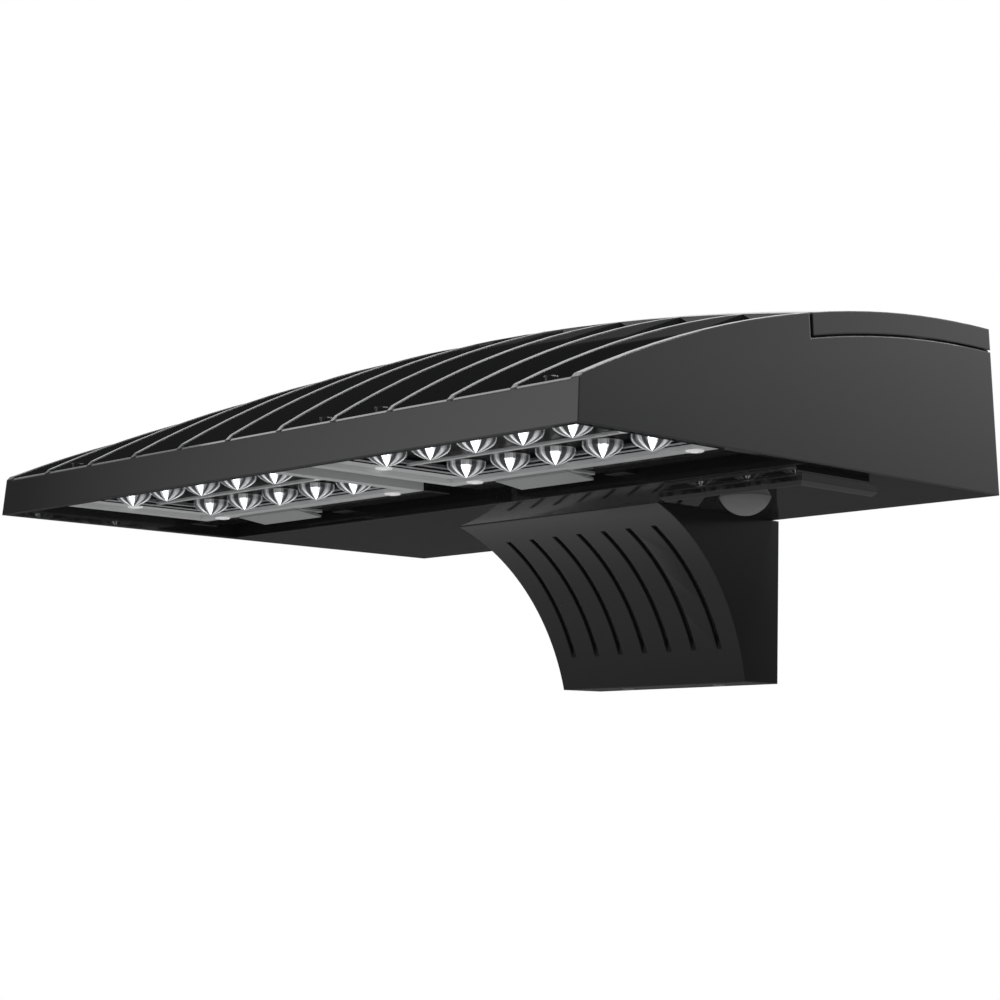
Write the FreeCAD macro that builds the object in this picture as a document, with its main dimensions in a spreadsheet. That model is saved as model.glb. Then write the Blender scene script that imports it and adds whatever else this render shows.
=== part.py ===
import FreeCAD, Part
import os
import re
import Sketcher

# LED wall pack. Bench frame: X along the wall, Y into the wall from the housing's back, Z up from its rim.
# Every finished piece is then placed so that the origin is the wall plate's centre on the wall.

# Driving sizes, in millimetres and degrees
SIZES = {
    # housing casting
    "housing_width": 457,
    "housing_depth": 336,
    "front_height": 21.3,
    "fin_start": 22,
    "side_height": 92,
    "crown_height": 113,
    "crown_lead": 16,
    "side_draft": 2.1,
    "front_draft": 5.3,
    "skirt_wall": 11,
    "bay_wall": 4.5,
    "front_wall": 4,
    "front_edge": 1.2,
    "upper_wall": 4,
    "bay_depth": 16,
    "bay_rear": 168,
    "fin_count": 10,
    "fin_pitch": 41.5,
    "fin_thick": 3,
    "fin_rear": 170,
    "floor_wall": 5,
    "back_wall": 6,
    "ledge_width": 7,
    "boss_radius": 3.5,
    "boss_height": 5.2,
    "boss_setback": 16,
    "boss_offset": 10.5,
    "form_margin": 10,
    "form_drop": 40,
    # hood over the driver compartment
    "cover_front": 161.5,
    "cover_gap": 2.5,
    "cover_drop": 13,
    "cover_joint": 1.2,
    "cover_skin": 3.5,
    "cover_wall": 6,
    "cover_seal_width": 3,
    "cover_seal_inset": 0.6,
    "seal_gap": 0.3,
    "hinge_spread": 41.5,
    "hinge_depth": 3.4,
    "hinge_pin_radius": 1.25,
    "hinge_pin_recess": 0.5,
    "hinge_ear": 5,
    "knuckle_radius": 2.6,
    "knuckle_width": 12,
    "running_gap": 0.05,
    "swing_gap": 0.6,
    "hood_screw_side": 78.5,
    "hood_screw_y": 28,
    "hood_screw_radius": 2.5,
    "hood_screw_head": 4.5,
    "hood_screw_head_height": 3.5,
    "hood_screw_bite": 5,
    "hood_screw_gap": 1.2,
    "hood_boss_radius": 7,
    "hood_seat_height": 96,
    "post_height": 76,
    # LED modules
    "module_spacing": 24,
    "module_side_gap": 16,
    "module_front_gap": 12,
    "module_rear_gap": 35,
    "module_level": 6.3,
    "pad_gap": 15,
    "module_seal": 1,
    "frame_side": 7.5,
    "frame_front": 7.5,
    "frame_back": 9.5,
    "lip_side": 10.5,
    "lip_front": 10,
    "lip_step": 2.2,
    "lens_lap": 2.5,
    "fit_gap": 0.3,
    "board_thick": 1.6,
    "board_inset": 2,
    "lens_sheet": 2.2,
    "lens_columns": 5,
    "lens_side_margin": 3.5,
    "lens_front_margin": 9,
    "lens_rear_margin": 1.3,
    "dome_radius": 10.3,
    "dome_height": 7,
    "dome_ring": 11.5,
    "dome_ring_rise": 0.8,
    "chip_pocket_radius": 4.2,
    "chip_pocket_depth": 1.6,
    "chip_side": 5,
    "chip_thick": 1.2,
    "screw_corner_inset": 21,
    "screw_side_inset": 12.8,
    "screw_front_inset": 5,
    "screw_rear_inset": 4.2,
    "screw_middle_back": 54,
    "module_head_radius": 4.7,
    "module_head_height": 1.4,
    "small_head_radius": 3.5,
    "small_head_height": 2.2,
    "small_screw_radius": 1.75,
    "wire_cover_inset": 34.7,
    "wire_cover_end": 10.5,
    "wire_cover_lap": 2,
    "wire_cover_reach": 18,
    "wire_cover_drop": 2.2,
    "wire_cover_thick": 1.3,
    "grommet_width": 14,
    "grommet_depth": 10,
    "lead_radius": 2,
    "lead_height": 11,
    # sensor
    "sensor_width": 92,
    "sensor_depth": 64,
    "sensor_side_gap": 6.5,
    "sensor_base_depth": 4,
    "sensor_cover_depth": 6,
    "sensor_inset": 3,
    "sensor_front_inset": 0.2,
    "sensor_wall": 2,
    "sensor_edge": 2.2,
    "sensor_strip": 14,
    "sensor_screw_edge": 8,
    "sensor_screw_skirt": 12,
    "sensor_screw_near": 18,
    "sensor_screw_far": 53,
    "sensor_eye_side": 42.5,
    "sensor_eye_back": 18,
    "eye_radius": 13.3,
    "eye_height": 9.5,
    "eye_wall": 1,
    "eye_flange": 15,
    "eye_flange_thick": 1.2,
    "sensor_can_radius": 4.6,
    "sensor_can_height": 3.2,
    "sensor_lead_side": 27.5,
    "sensor_lead_back": 36,
    # driver compartment
    "driver_length": 230,
    "driver_width": 58,
    "driver_height": 36,
    "driver_centre_x": -30,
    "driver_centre_y": 120,
    "foot_length": 14,
    "foot_thick": 3,
    "surge_length": 36,
    "surge_width": 30,
    "surge_height": 26,
    "surge_clearance": 3.5,
    "surge_y": 35,
    "pack_length": 50,
    "pack_width": 34,
    "pack_height": 24,
    "pack_inset": 43.5,
    "pack_y": 72,
    "terminal_length": 44,
    "terminal_width": 22,
    "terminal_height": 18,
    "terminal_inset": 97.5,
    "terminal_y": 55,
    "ground_inset": 37.5,
    "ground_y": 55,
    "ground_head": 6,
    "ground_head_height": 4,
    "lead_rise": 24,
    "lead_tuck": 4,
    "lead_bend": 20,
    "lead_detour": 40,
    "pack_lead_y": 82,
    "pack_lead_x": 110,
    "pack_lead_back": 110,
    "supply_radius": 4,
    "supply_height": 19,
    "supply_end": 12,
    "supply_drop": 20,
    # wall bracket
    "wall_gap": 6.2,
    "bracket_height": 96.4,
    "bracket_reach": 111,
    "bracket_toe": 26,
    "bracket_arc": 131,
    "bracket_half": 73.5,
    "bracket_taper": 1.78,
    "bracket_flare": 2.82,
    "bracket_wall": 5,
    "groove_count": 7,
    "groove_pitch": 19.3,
    "groove_width": 3.6,
    "groove_depth": 2.8,
    "groove_top": 9.5,
    "groove_fade": 45,
    "groove_fade_angle": 101,
    "bolt_x": 42,
    "bolt_front": 72,
    "bolt_rear": 28,
    "bolt_radius": 4,
    "bolt_slack": 0.4,
    "bolt_head_radius": 7.5,
    "bolt_head_height": 5.3,
    "bracket_seal": 1,
    "bracket_seal_margin": 8,
    "entry_y": 50,
    "entry_radius": 9,
    "bushing_wall": 2,
    "bushing_flange": 3,
    "bushing_lip": 2,
    "plate_thick": 3,
    "plate_half": 58,
    "plate_tab": 20,
    "anchor_spread": 96,
    "anchor_rise": 56,
    "anchor_radius": 3.3,
    "box_spread": 88.9,
    "box_radius": 2.4,
    "wire_hole_radius": 11,
    "wall_seal_width": 3,
    "lock_x": 36,
    "lock_back": 12,
    "lock_radius": 2.5,
    "lock_head": 4.5,
    "lock_head_height": 3,
}

# Sizes and places that follow from the driving ones
WORKED_OUT = {
    "inner_half": "housing_width / 2 - skirt_wall",
    "bay_half": "housing_width / 2 - bay_wall",
    "hood_screw_x": "housing_width / 2 - hood_screw_side",
    "module_half": "(bay_half - module_side_gap - module_spacing / 2) / 2",
    "module_offset": "module_spacing / 2 + module_half",
    "module_front": "housing_depth - front_wall - module_front_gap",
    "module_rear": "bay_rear + module_rear_gap",
    "lens_pitch": "2 * (module_half - frame_side - lip_side - dome_ring - lens_side_margin) / (lens_columns - 1)",
    "lens_front_row": "module_front - frame_front - lip_front - dome_ring - lens_front_margin",
    "lens_rear_row": "module_rear + frame_back + dome_ring + lens_rear_margin",
    "module_screw_x": "module_half - screw_corner_inset",
    "module_screw_mid": "module_half - screw_side_inset",
    "module_screw_front": "module_front - screw_front_inset",
    "module_screw_rear": "module_rear + screw_rear_inset",
    "module_screw_middle": "module_front - screw_middle_back",
    "wire_cover_start": "module_half - wire_cover_inset",
    "sensor_right": "housing_width / 2 - sensor_side_gap",
    "sensor_left": "sensor_right - sensor_width",
    "sensor_rear": "bay_rear - sensor_depth",
    "sensor_screw_front": "bay_rear - sensor_screw_near",
    "sensor_screw_back": "bay_rear - sensor_screw_far",
    "sensor_eye_x": "sensor_left + sensor_eye_side",
    "sensor_eye_y": "bay_rear - sensor_eye_back",
    "sensor_lead_x": "sensor_left + sensor_lead_side",
    "sensor_lead_y": "bay_rear - sensor_lead_back",
    "surge_x": "bolt_x + bolt_head_radius + surge_clearance + foot_length + surge_length / 2",
    "pack_x": "inner_half - pack_inset",
    "terminal_x": "terminal_inset - inner_half",
    "ground_x": "ground_inset - inner_half",
}

doc = FreeCAD.newDocument("led_wall_pack")
dims = doc.addObject("Spreadsheet::Sheet", "dims")
for row, (alias, value) in enumerate(SIZES.items(), start=1):
    dims.set(f"A{row}", alias)
    dims.set(f"B{row}", str(value))
    dims.setAlias(f"B{row}", alias)
doc.recompute()

NODES = []
AXES = {"x": FreeCAD.Rotation(FreeCAD.Vector(0, 1, 0), 90),
        "y": FreeCAD.Rotation(FreeCAD.Vector(1, 0, 0), -90),
        "z": FreeCAD.Rotation()}


def formula(text):
    """Point every size named in a formula at its cell, and write out each worked-out size."""
    def cell(word):
        name = word.group()
        if name in WORKED_OUT:
            return f"({formula(WORKED_OUT[name])})"
        return "dims." + name if name in SIZES else name
    return re.sub(r"[a-z_]+", cell, str(text))


def bind(item, prop, text):
    item.setExpression(prop, formula(text))


def box(name, x, y, z):
    """A block between low and high formulas along each axis."""
    block = doc.addObject("Part::Box", name)
    for side, axis, (low, high) in zip(("Length", "Width", "Height"), "xyz", (x, y, z)):
        bind(block, side, f"({high}) - ({low})")
        bind(block, "Placement.Base." + axis, low)
    return block


def rod(name, axis, span, radius, **centre):
    """A cylinder along one axis between two formulas; centre gives the other two coordinates."""
    round_bar = doc.addObject("Part::Cylinder", name)
    round_bar.Placement = FreeCAD.Placement(FreeCAD.Vector(), AXES[axis])
    low, high = span
    bind(round_bar, "Radius", radius)
    bind(round_bar, "Height", f"({high}) - ({low})")
    bind(round_bar, "Placement.Base." + axis, low)
    for other, text in centre.items():
        bind(round_bar, "Placement.Base." + other, text)
    return round_bar


def hexagon(name, x, y, span, radius):
    """A hexagonal head or nut standing along Z."""
    prism = doc.addObject("Part::Prism", name)
    prism.Polygon = 6
    low, high = span
    bind(prism, "Circumradius", radius)
    bind(prism, "Height", f"({high}) - ({low})")
    for axis, text in zip("xyz", (x, y, low)):
        bind(prism, "Placement.Base." + axis, text)
    return prism


def fuse(name, *shapes):
    joined = doc.addObject("Part::MultiFuse", name)
    joined.Shapes = list(shapes)
    return joined


def group(name, *shapes):
    """Separate solids kept together as one piece list."""
    together = doc.addObject("Part::Compound", name)
    together.Links = list(shapes)
    return together


def cut(name, base, *tools):
    left = doc.addObject("Part::Cut", name)
    left.Base = base
    left.Tool = tools[0] if len(tools) == 1 else fuse(name + "_tools", *tools)
    return left


def common(name, first, second):
    shared = doc.addObject("Part::MultiCommon", name)
    shared.Shapes = [first, second]
    return shared


def polygon(sketch, points):
    """Draw a closed outline and pin each corner to its pair of formulas."""
    guess = [FreeCAD.Vector(10 * index, (index * index) % 7, 0) for index in range(len(points))]
    for index, start in enumerate(guess):
        sketch.addGeometry(Part.LineSegment(start, guess[(index + 1) % len(guess)]), False)
    for index in range(len(points)):
        sketch.addConstraint(Sketcher.Constraint("Coincident", index, 2, (index + 1) % len(points), 1))
    for index, pair in enumerate(points):
        for kind, text in zip(("DistanceX", "DistanceY"), pair):
            place = sketch.addConstraint(Sketcher.Constraint(kind, -1, 1, index, 1, 1.0 + index))
            bind(sketch, f"Constraints[{place}]", text)


def body_sketch(name, role):
    """A new body with a sketch on one of its own origin planes."""
    body = doc.addObject("PartDesign::Body", name)
    plane = [item for item in body.Origin.OriginFeatures if item.Role == role][0]
    sketch = body.newObject("Sketcher::SketchObject", name + "_outline")
    sketch.AttachmentSupport = [(plane, "")]
    sketch.MapMode = "FlatFace"
    return body, sketch


def extrusion(name, points, span):
    """A body padded along X from an outline of (y, z) formulas."""
    body, sketch = body_sketch(name, "YZ_Plane")
    polygon(sketch, points)
    low, high = span
    bind(sketch, "AttachmentOffset.Base.z", low)
    pad = body.newObject("PartDesign::Pad", name + "_pad")
    pad.Profile = sketch
    bind(pad, "Length", f"({high}) - ({low})")
    return body


def turning(name, points):
    """A body turned about its own Z from an outline of (radius, height) formulas."""
    body, sketch = body_sketch(name, "XZ_Plane")
    polygon(sketch, points)
    turn = body.newObject("PartDesign::Revolution", name + "_turn")
    turn.Profile = sketch
    turn.ReferenceAxis = (sketch, ["V_Axis"])
    turn.Angle = 360
    return body


def loft(name, sections, ruled):
    skin = doc.addObject("Part::Loft", name)
    skin.Sections = sections
    skin.Solid = True
    skin.Ruled = ruled
    return skin


def finish(piece, label, x="0", y="0", z="0"):
    """Name a finished piece and move it from the bench frame to the wall frame."""
    piece.Label = label
    bind(piece, "Placement.Base.x", x)
    bind(piece, "Placement.Base.y", f"{y} - wall_gap")
    bind(piece, "Placement.Base.z", f"{z} + bracket_height / 2")
    NODES.append(piece)


# Crowned outer form: a drafted block under a top that arcs front to back and crowns across
form_top = "crown_height + form_margin"
front_top = "(housing_depth - tan(front_draft) * front_height)"
drafted = doc.addObject("Part::Wedge", "drafted_block")
drafted.Placement = FreeCAD.Placement(FreeCAD.Vector(), FreeCAD.Rotation(FreeCAD.Vector(1, 0, 0), 90))
side_lean = f"tan(side_draft) * ({form_top})"
for prop, text in (("Xmin", "-housing_width / 2"), ("Xmax", "housing_width / 2"),
                   ("X2min", f"{side_lean} - housing_width / 2"),
                   ("X2max", f"housing_width / 2 - {side_lean}"),
                   ("Ymin", "0"), ("Ymax", form_top), ("Zmin", "0"), ("Zmax", "housing_depth"),
                   ("Z2min", "0"), ("Z2max", f"housing_depth - tan(front_draft) * ({form_top})")):
    bind(drafted, prop, text)


def crown_arc(share):
    """Peak height, lead and radius of the top's side profile; share is 0 at mid-width, 1 at the sides."""
    peak = f"(crown_height - (crown_height - side_height) * {share})"
    lead = f"(crown_lead * {1 - share})"
    radius = f"((({front_top} - {lead})^2 + ({peak} - fin_start)^2) / (2 * ({peak} - fin_start)))"
    return peak, lead, radius


def crown_section(name, station, drop):
    """Side profile of the form at a station, -1 and 1 being the two rims; drop lowers its top."""
    sketch = doc.addObject("Sketcher::SketchObject", name)
    sketch.Placement = FreeCAD.Placement(FreeCAD.Vector(), FreeCAD.Rotation(FreeCAD.Vector(1, 1, 1), 120))
    bind(sketch, "Placement.Base.x", f"{station} * housing_width / 2")
    peak, lead, radius = crown_arc(station * station)
    reach = FreeCAD.Vector(-350, 0, 0)
    centre = FreeCAD.Vector(-10, -600, 0)
    back = FreeCAD.Vector(10, 90, 0)
    low = FreeCAD.Vector(0, -40, 0)
    sketch.addGeometry(Part.LineSegment(reach + low, back + low), False)
    sketch.addGeometry(Part.LineSegment(back + low, back), False)
    sketch.addGeometry(Part.ArcOfCircle(Part.Circle(centre, FreeCAD.Vector(0, 0, 1), 690), 1.54, 2.08), False)
    sketch.addGeometry(Part.LineSegment(reach, reach + low), False)
    for first, end, second, start in ((0, 2, 1, 1), (1, 2, 2, 1), (2, 2, 3, 1), (3, 2, 0, 1)):
        sketch.addConstraint(Sketcher.Constraint("Coincident", first, end, second, start))
    sketch.addConstraint(Sketcher.Constraint("Vertical", 1))
    sketch.addConstraint(Sketcher.Constraint("Vertical", 3))
    for kind, index, point, text in (("DistanceX", 0, 1, "-housing_depth - form_margin"),
                                     ("DistanceY", 0, 1, "-form_drop"),
                                     ("DistanceX", 0, 2, "form_margin"),
                                     ("DistanceY", 0, 2, "-form_drop"),
                                     ("DistanceX", 2, 3, f"-{lead}"),
                                     ("DistanceY", 2, 3, f"{peak} - {radius} - ({drop})")):
        place = sketch.addConstraint(Sketcher.Constraint(kind, -1, 1, index, point, -20.0))
        bind(sketch, f"Constraints[{place}]", text)
    place = sketch.addConstraint(Sketcher.Constraint("Radius", 2, 690.0))
    bind(sketch, f"Constraints[{place}]", radius)
    return sketch


def crown_form(name, drop):
    """Solid below the crowned top surface lowered by drop."""
    stations = (-1.06, -0.53, 0, 0.53, 1.06)
    return loft(name, [crown_section(f"{name}_{index}", station, drop)
                       for index, station in enumerate(stations)], False)


outer_form = common("outer_form", drafted, crown_form("crown_top", "0"))
seat_form = crown_form("cover_seat", "cover_drop")

# Hinge line of the hood: just below the crown's middle, inside the partition's top
hinge_y = "(-(fin_rear + cover_front + cover_gap) / 2)"
mid_peak, mid_lead, mid_radius = crown_arc(0)
hinge_z = f"({mid_peak} - {mid_radius} + sqrt({mid_radius}^2 - ({hinge_y} + {mid_lead})^2) - hinge_depth)"
room_front = "(-(cover_front + cover_gap) + ledge_width)"
above = "(crown_height + form_margin * 2)"


def both_sides(maker):
    """The same feature at the left and at the right."""
    return [maker("left", "-1"), maker("right", "1")]


def hinge_slots(side, sign):
    """Room for a knuckle, room to push its pin in, and the pin's hole."""
    low = f"{sign} * hinge_spread - knuckle_width / 2 - swing_gap"
    high = f"{sign} * hinge_spread + knuckle_width / 2 + swing_gap"
    depth = ("-fin_rear", "-(cover_front + cover_gap)")
    under = f"{hinge_z} - knuckle_radius - swing_gap"
    knuckle = box(f"knuckle_slot_{side}", (low, high), depth, (under, above))
    access = box(f"pin_access_{side}", (f"{high} + hinge_ear", f"{high} + hinge_ear + knuckle_width * 2"),
                 depth, (under, above))
    hole = rod(f"pin_hole_{side}", "x", (f"{low} - hinge_ear", f"{high} + hinge_ear"),
               "hinge_pin_radius + running_gap", y=hinge_y, z=hinge_z)
    return fuse(f"hinge_slot_{side}", knuckle, access, hole)


# Housing: skirts, front wall, heat-sink plate with fins, partition and open driver compartment
bay = box("led_bay", ("-bay_half", "bay_half"), ("front_wall - housing_depth", "-bay_rear"),
          ("-1", "bay_depth"))
room = box("driver_room", ("-inner_half", "inner_half"), (room_front, "-back_wall"), ("floor_wall", above))
over_seat = cut("over_seat", box("hood_space", ("-housing_width", "housing_width"),
                                 ("-(cover_front + cover_gap)", "form_margin"), ("0", above)), seat_form)
gap_edges = ["upper_wall - housing_width / 2 + tan(side_draft) * crown_height / 2"]
for index in range(int(SIZES["fin_count"])):
    fin_x = f"({index} - (fin_count - 1) / 2) * fin_pitch"
    gap_edges += [f"{fin_x} - fin_thick / 2", f"{fin_x} + fin_thick / 2"]
gap_edges.append("housing_width / 2 - tan(side_draft) * crown_height / 2 - upper_wall")
gap_outline = [("-fin_rear", above), ("-fin_rear", "front_height"),
               (f"front_edge - {front_top}", "front_height"),
               (f"-{front_top} - form_margin", "front_height - front_edge - form_margin"),
               (f"-{front_top} - form_margin", above)]
gaps = [extrusion(f"fin_gap_{index}", gap_outline, span)
        for index, span in enumerate(zip(gap_edges[0::2], gap_edges[1::2]))]
fin_ramp = extrusion("fin_ramp", [(f"-{front_top} - form_margin", "fin_start - front_edge - form_margin"),
                                  (f"form_margin - {front_top}", "fin_start - front_edge + form_margin"),
                                  (f"-{front_top} - form_margin", "fin_start - front_edge + form_margin")],
                     ("-housing_width", "housing_width"))
module_sides = (("left", "-module_offset"), ("right", "module_offset"))
lead_holes = []
for side, middle in module_sides:
    lead_x = f"{middle} - wire_cover_end + grommet_width / 2 + 1"
    lead_holes.append(rod(f"lead_hole_{side}", "y", ("-bay_rear - 1", f"{room_front} + 1"),
                          "lead_radius + fit_gap", x=lead_x, z="lead_height"))
bolt_places = [(f"{sign} * bolt_x", f"-{row}") for sign in (-1, 1) for row in ("bolt_front", "bolt_rear")]
bolt_holes = [rod(f"floor_bolt_hole_{index}", "z", ("-1", "floor_wall + 1"), "bolt_radius + bolt_slack", x=x, y=y)
              for index, (x, y) in enumerate(bolt_places)]
sensor_screw_places = [(x, f"-{y}") for x in ("sensor_left + sensor_screw_edge",
                                              "sensor_right - sensor_screw_skirt")
                       for y in ("sensor_screw_front", "sensor_screw_back")]
bolt_holes += [rod(f"floor_sensor_hole_{index}", "z", ("-1", "floor_wall + 1"), "small_screw_radius + fit_gap",
                   x=x, y=y) for index, (x, y) in enumerate(sensor_screw_places)]
entry = rod("floor_entry", "z", ("-1", "floor_wall + 1"), "entry_radius", x="0", y="-entry_y")
sensor_entry = rod("sensor_entry", "z", ("-1", "floor_wall + 1"), "lead_radius + fit_gap",
                   x="sensor_lead_x", y="-sensor_lead_y")
slots = both_sides(hinge_slots)
shell = cut("housing_shell", outer_form, bay, room, over_seat, group("fin_gaps", *gaps), fin_ramp,
            *slots, *lead_holes, *bolt_holes, entry, sensor_entry)
posts = both_sides(lambda side, sign: cut(
    f"hood_post_{side}",
    rod(f"post_bar_{side}", "z", ("floor_wall - 1", "post_height"), "hood_boss_radius",
        x=f"{sign} * hood_screw_x", y="-hood_screw_y"),
    rod(f"post_bore_{side}", "z", ("post_height - hood_screw_bite * 3", "post_height + 1"),
        "hood_screw_radius + hood_screw_gap", x=f"{sign} * hood_screw_x", y="-hood_screw_y")))
fin_edge = "(fin_count - 1) / 2 * fin_pitch"
boss_places = (f"boss_offset - {fin_edge}", "fin_pitch", "2 * fin_pitch", f"{fin_edge} + boss_offset")
bosses = [rod(f"screw_boss_{index}", "z", ("bay_depth + 1", "front_height + boss_height"), "boss_radius",
              x=place, y="boss_setback - housing_depth") for index, place in enumerate(boss_places)]
pad_spans = (("-bay_half - 1", "-module_spacing / 2"), ("module_spacing / 2", "bay_half + 1"))
pads = [box(f"module_pad_{index}", span, ("fit_gap - module_rear", "-bay_rear - pad_gap"),
            ("module_level", "bay_depth + 1")) for index, span in enumerate(pad_spans)]
finish(fuse("housing_casting", shell, *posts, *bosses, *pads), "housing")

# Hood: crowned lid with a skirt on every side and two knuckles at its front edge
hood_space = box("hood_block", ("-housing_width", "housing_width"), ("-cover_front", "form_margin"), ("0", above))
hood_floor = crown_form("hood_floor", "cover_drop - cover_joint")
hood_inner = crown_form("hood_inner", "cover_skin")
hood_half = "(housing_width / 2 - tan(side_draft) * side_height - cover_wall)"
hollow = common("hood_hollow", hood_inner,
                box("hood_room", (f"-{hood_half}", hood_half), ("-cover_front + cover_wall", "-cover_wall"),
                    ("0", above)))
lid = cut("hood_lid", common("hood_outer", outer_form, hood_space), hood_floor, hollow)


def hood_boss(side, sign):
    bar = rod(f"boss_bar_{side}", "z", ("post_height + cover_joint", above), "hood_boss_radius",
              x=f"{sign} * hood_screw_x", y="-hood_screw_y")
    return common(f"hood_boss_{side}", bar, outer_form)


def hood_knuckle(side, sign):
    low = f"{sign} * hinge_spread - knuckle_width / 2"
    high = f"{sign} * hinge_spread + knuckle_width / 2"
    eye = rod(f"knuckle_{side}", "x", (low, high), "knuckle_radius", y=hinge_y, z=hinge_z)
    arm = box(f"knuckle_arm_{side}", (low, high), (hinge_y, "-cover_front + 1"),
              (f"{hinge_z} - knuckle_radius", f"{hinge_z} + knuckle_radius"))
    return fuse(f"hood_knuckle_{side}", eye, arm)


def hood_holes(side, sign):
    place = {"x": f"{sign} * hood_screw_x", "y": "-hood_screw_y"}
    shank = rod(f"hood_shank_hole_{side}", "z", ("post_height", above), "hood_screw_radius + fit_gap", **place)
    sink = rod(f"hood_head_sink_{side}", "z", ("hood_seat_height", above), "hood_screw_head + fit_gap", **place)
    pin = rod(f"knuckle_hole_{side}", "x", (f"{sign} * hinge_spread - knuckle_width",
                                           f"{sign} * hinge_spread + knuckle_width"),
              "hinge_pin_radius + running_gap", y=hinge_y, z=hinge_z)
    return fuse(f"hood_hole_{side}", shank, sink, pin)


whole_lid = fuse("hood_with_bosses", lid, *both_sides(hood_boss), *both_sides(hood_knuckle))
finish(cut("hood", whole_lid, *both_sides(hood_holes)), "rear_cover")

# Seal of the hood: a soft strip on the seat, set in from the outside
strip_outer = box("strip_outer", (f"-({hood_half} + cover_wall - cover_seal_inset)",
                                  f"{hood_half} + cover_wall - cover_seal_inset"),
                  ("-cover_front + cover_seal_inset", "-cover_seal_inset"), ("0", above))
strip_inner = box("strip_inner", (f"-({hood_half} + cover_wall - cover_seal_inset - cover_seal_width)",
                                  f"{hood_half} + cover_wall - cover_seal_inset - cover_seal_width"),
                  ("-cover_front + cover_seal_inset + cover_seal_width", "-cover_seal_inset - cover_seal_width"),
                  ("-1", f"{above} + 1"))
seal_top = crown_form("seal_top", "cover_drop - cover_joint + seal_gap")
finish(cut("hood_seal", common("hood_seal_band", seal_top, cut("strip_ring", strip_outer, strip_inner)),
           seat_form), "cover_gasket")

# Hinge pins and captive screws of the hood
pins = both_sides(lambda side, sign: rod(
    f"hinge_pin_{side}", "x",
    (f"{sign} * hinge_spread - knuckle_width / 2 - swing_gap - hinge_ear + hinge_pin_recess",
     f"{sign} * hinge_spread + knuckle_width / 2 + swing_gap + hinge_ear"),
    "hinge_pin_radius", y=hinge_y, z=hinge_z))
finish(group("hinge_pins", *pins), "cover_hinge_pins")


def screw(name, x, y, seat, head_radius, head_height, shank_radius, shank_end):
    """A screw along Z: the head grows from its seat, the shank goes the other way."""
    head = rod(name + "_head", "z", (seat, f"{seat} + {head_height}"), head_radius, x=x, y=y)
    shank = rod(name + "_shank", "z", (shank_end, seat), shank_radius, x=x, y=y)
    return fuse(name, head, shank)


def screw_up(name, x, y, seat, head_radius, head_height, shank_radius, shank_end):
    """A screw driven upwards: its head hangs below the seat."""
    head = rod(name + "_head", "z", (f"{seat} - {head_height}", seat), head_radius, x=x, y=y)
    shank = rod(name + "_shank", "z", (seat, shank_end), shank_radius, x=x, y=y)
    return fuse(name, head, shank)


hood_screws = both_sides(lambda side, sign: screw(
    f"hood_screw_{side}", f"{sign} * hood_screw_x", "-hood_screw_y", "hood_seat_height", "hood_screw_head",
    "hood_screw_head_height", "hood_screw_radius", "post_height - hood_screw_bite"))
finish(group("hood_screws", *hood_screws), "cover_screws")

# LED modules: the same stack of pieces at the left and at the right
frame_top = "(bay_depth - module_seal)"
lens_top = "(bay_depth - board_thick)"
lens_low = f"({lens_top} - lens_sheet)"
rim_x = "(module_half - frame_side)"
rim_front = "(-module_front + frame_front)"
lip_level = "(module_level + lip_step)"
opening_x = f"({rim_x} - lip_side)"
opening_front = f"({rim_front} + lip_front)"
opening_rear = "(-module_rear - frame_back)"
screw_places = [(f"{sign} * {x}", f"-{y}", seat) for sign in (-1, 1)
                for x, y, seat in (("module_screw_x", "module_screw_rear", "module_level"),
                                   ("module_screw_mid", "module_screw_middle", lip_level),
                                   ("module_screw_x", "module_screw_front", "module_level"))]
lens_places = [(f"({column} - (lens_columns - 1) / 2) * lens_pitch", f"-{row}")
               for row in ("lens_front_row", "lens_rear_row") for column in range(int(SIZES["lens_columns"]))]
all_module_screws = []
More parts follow.
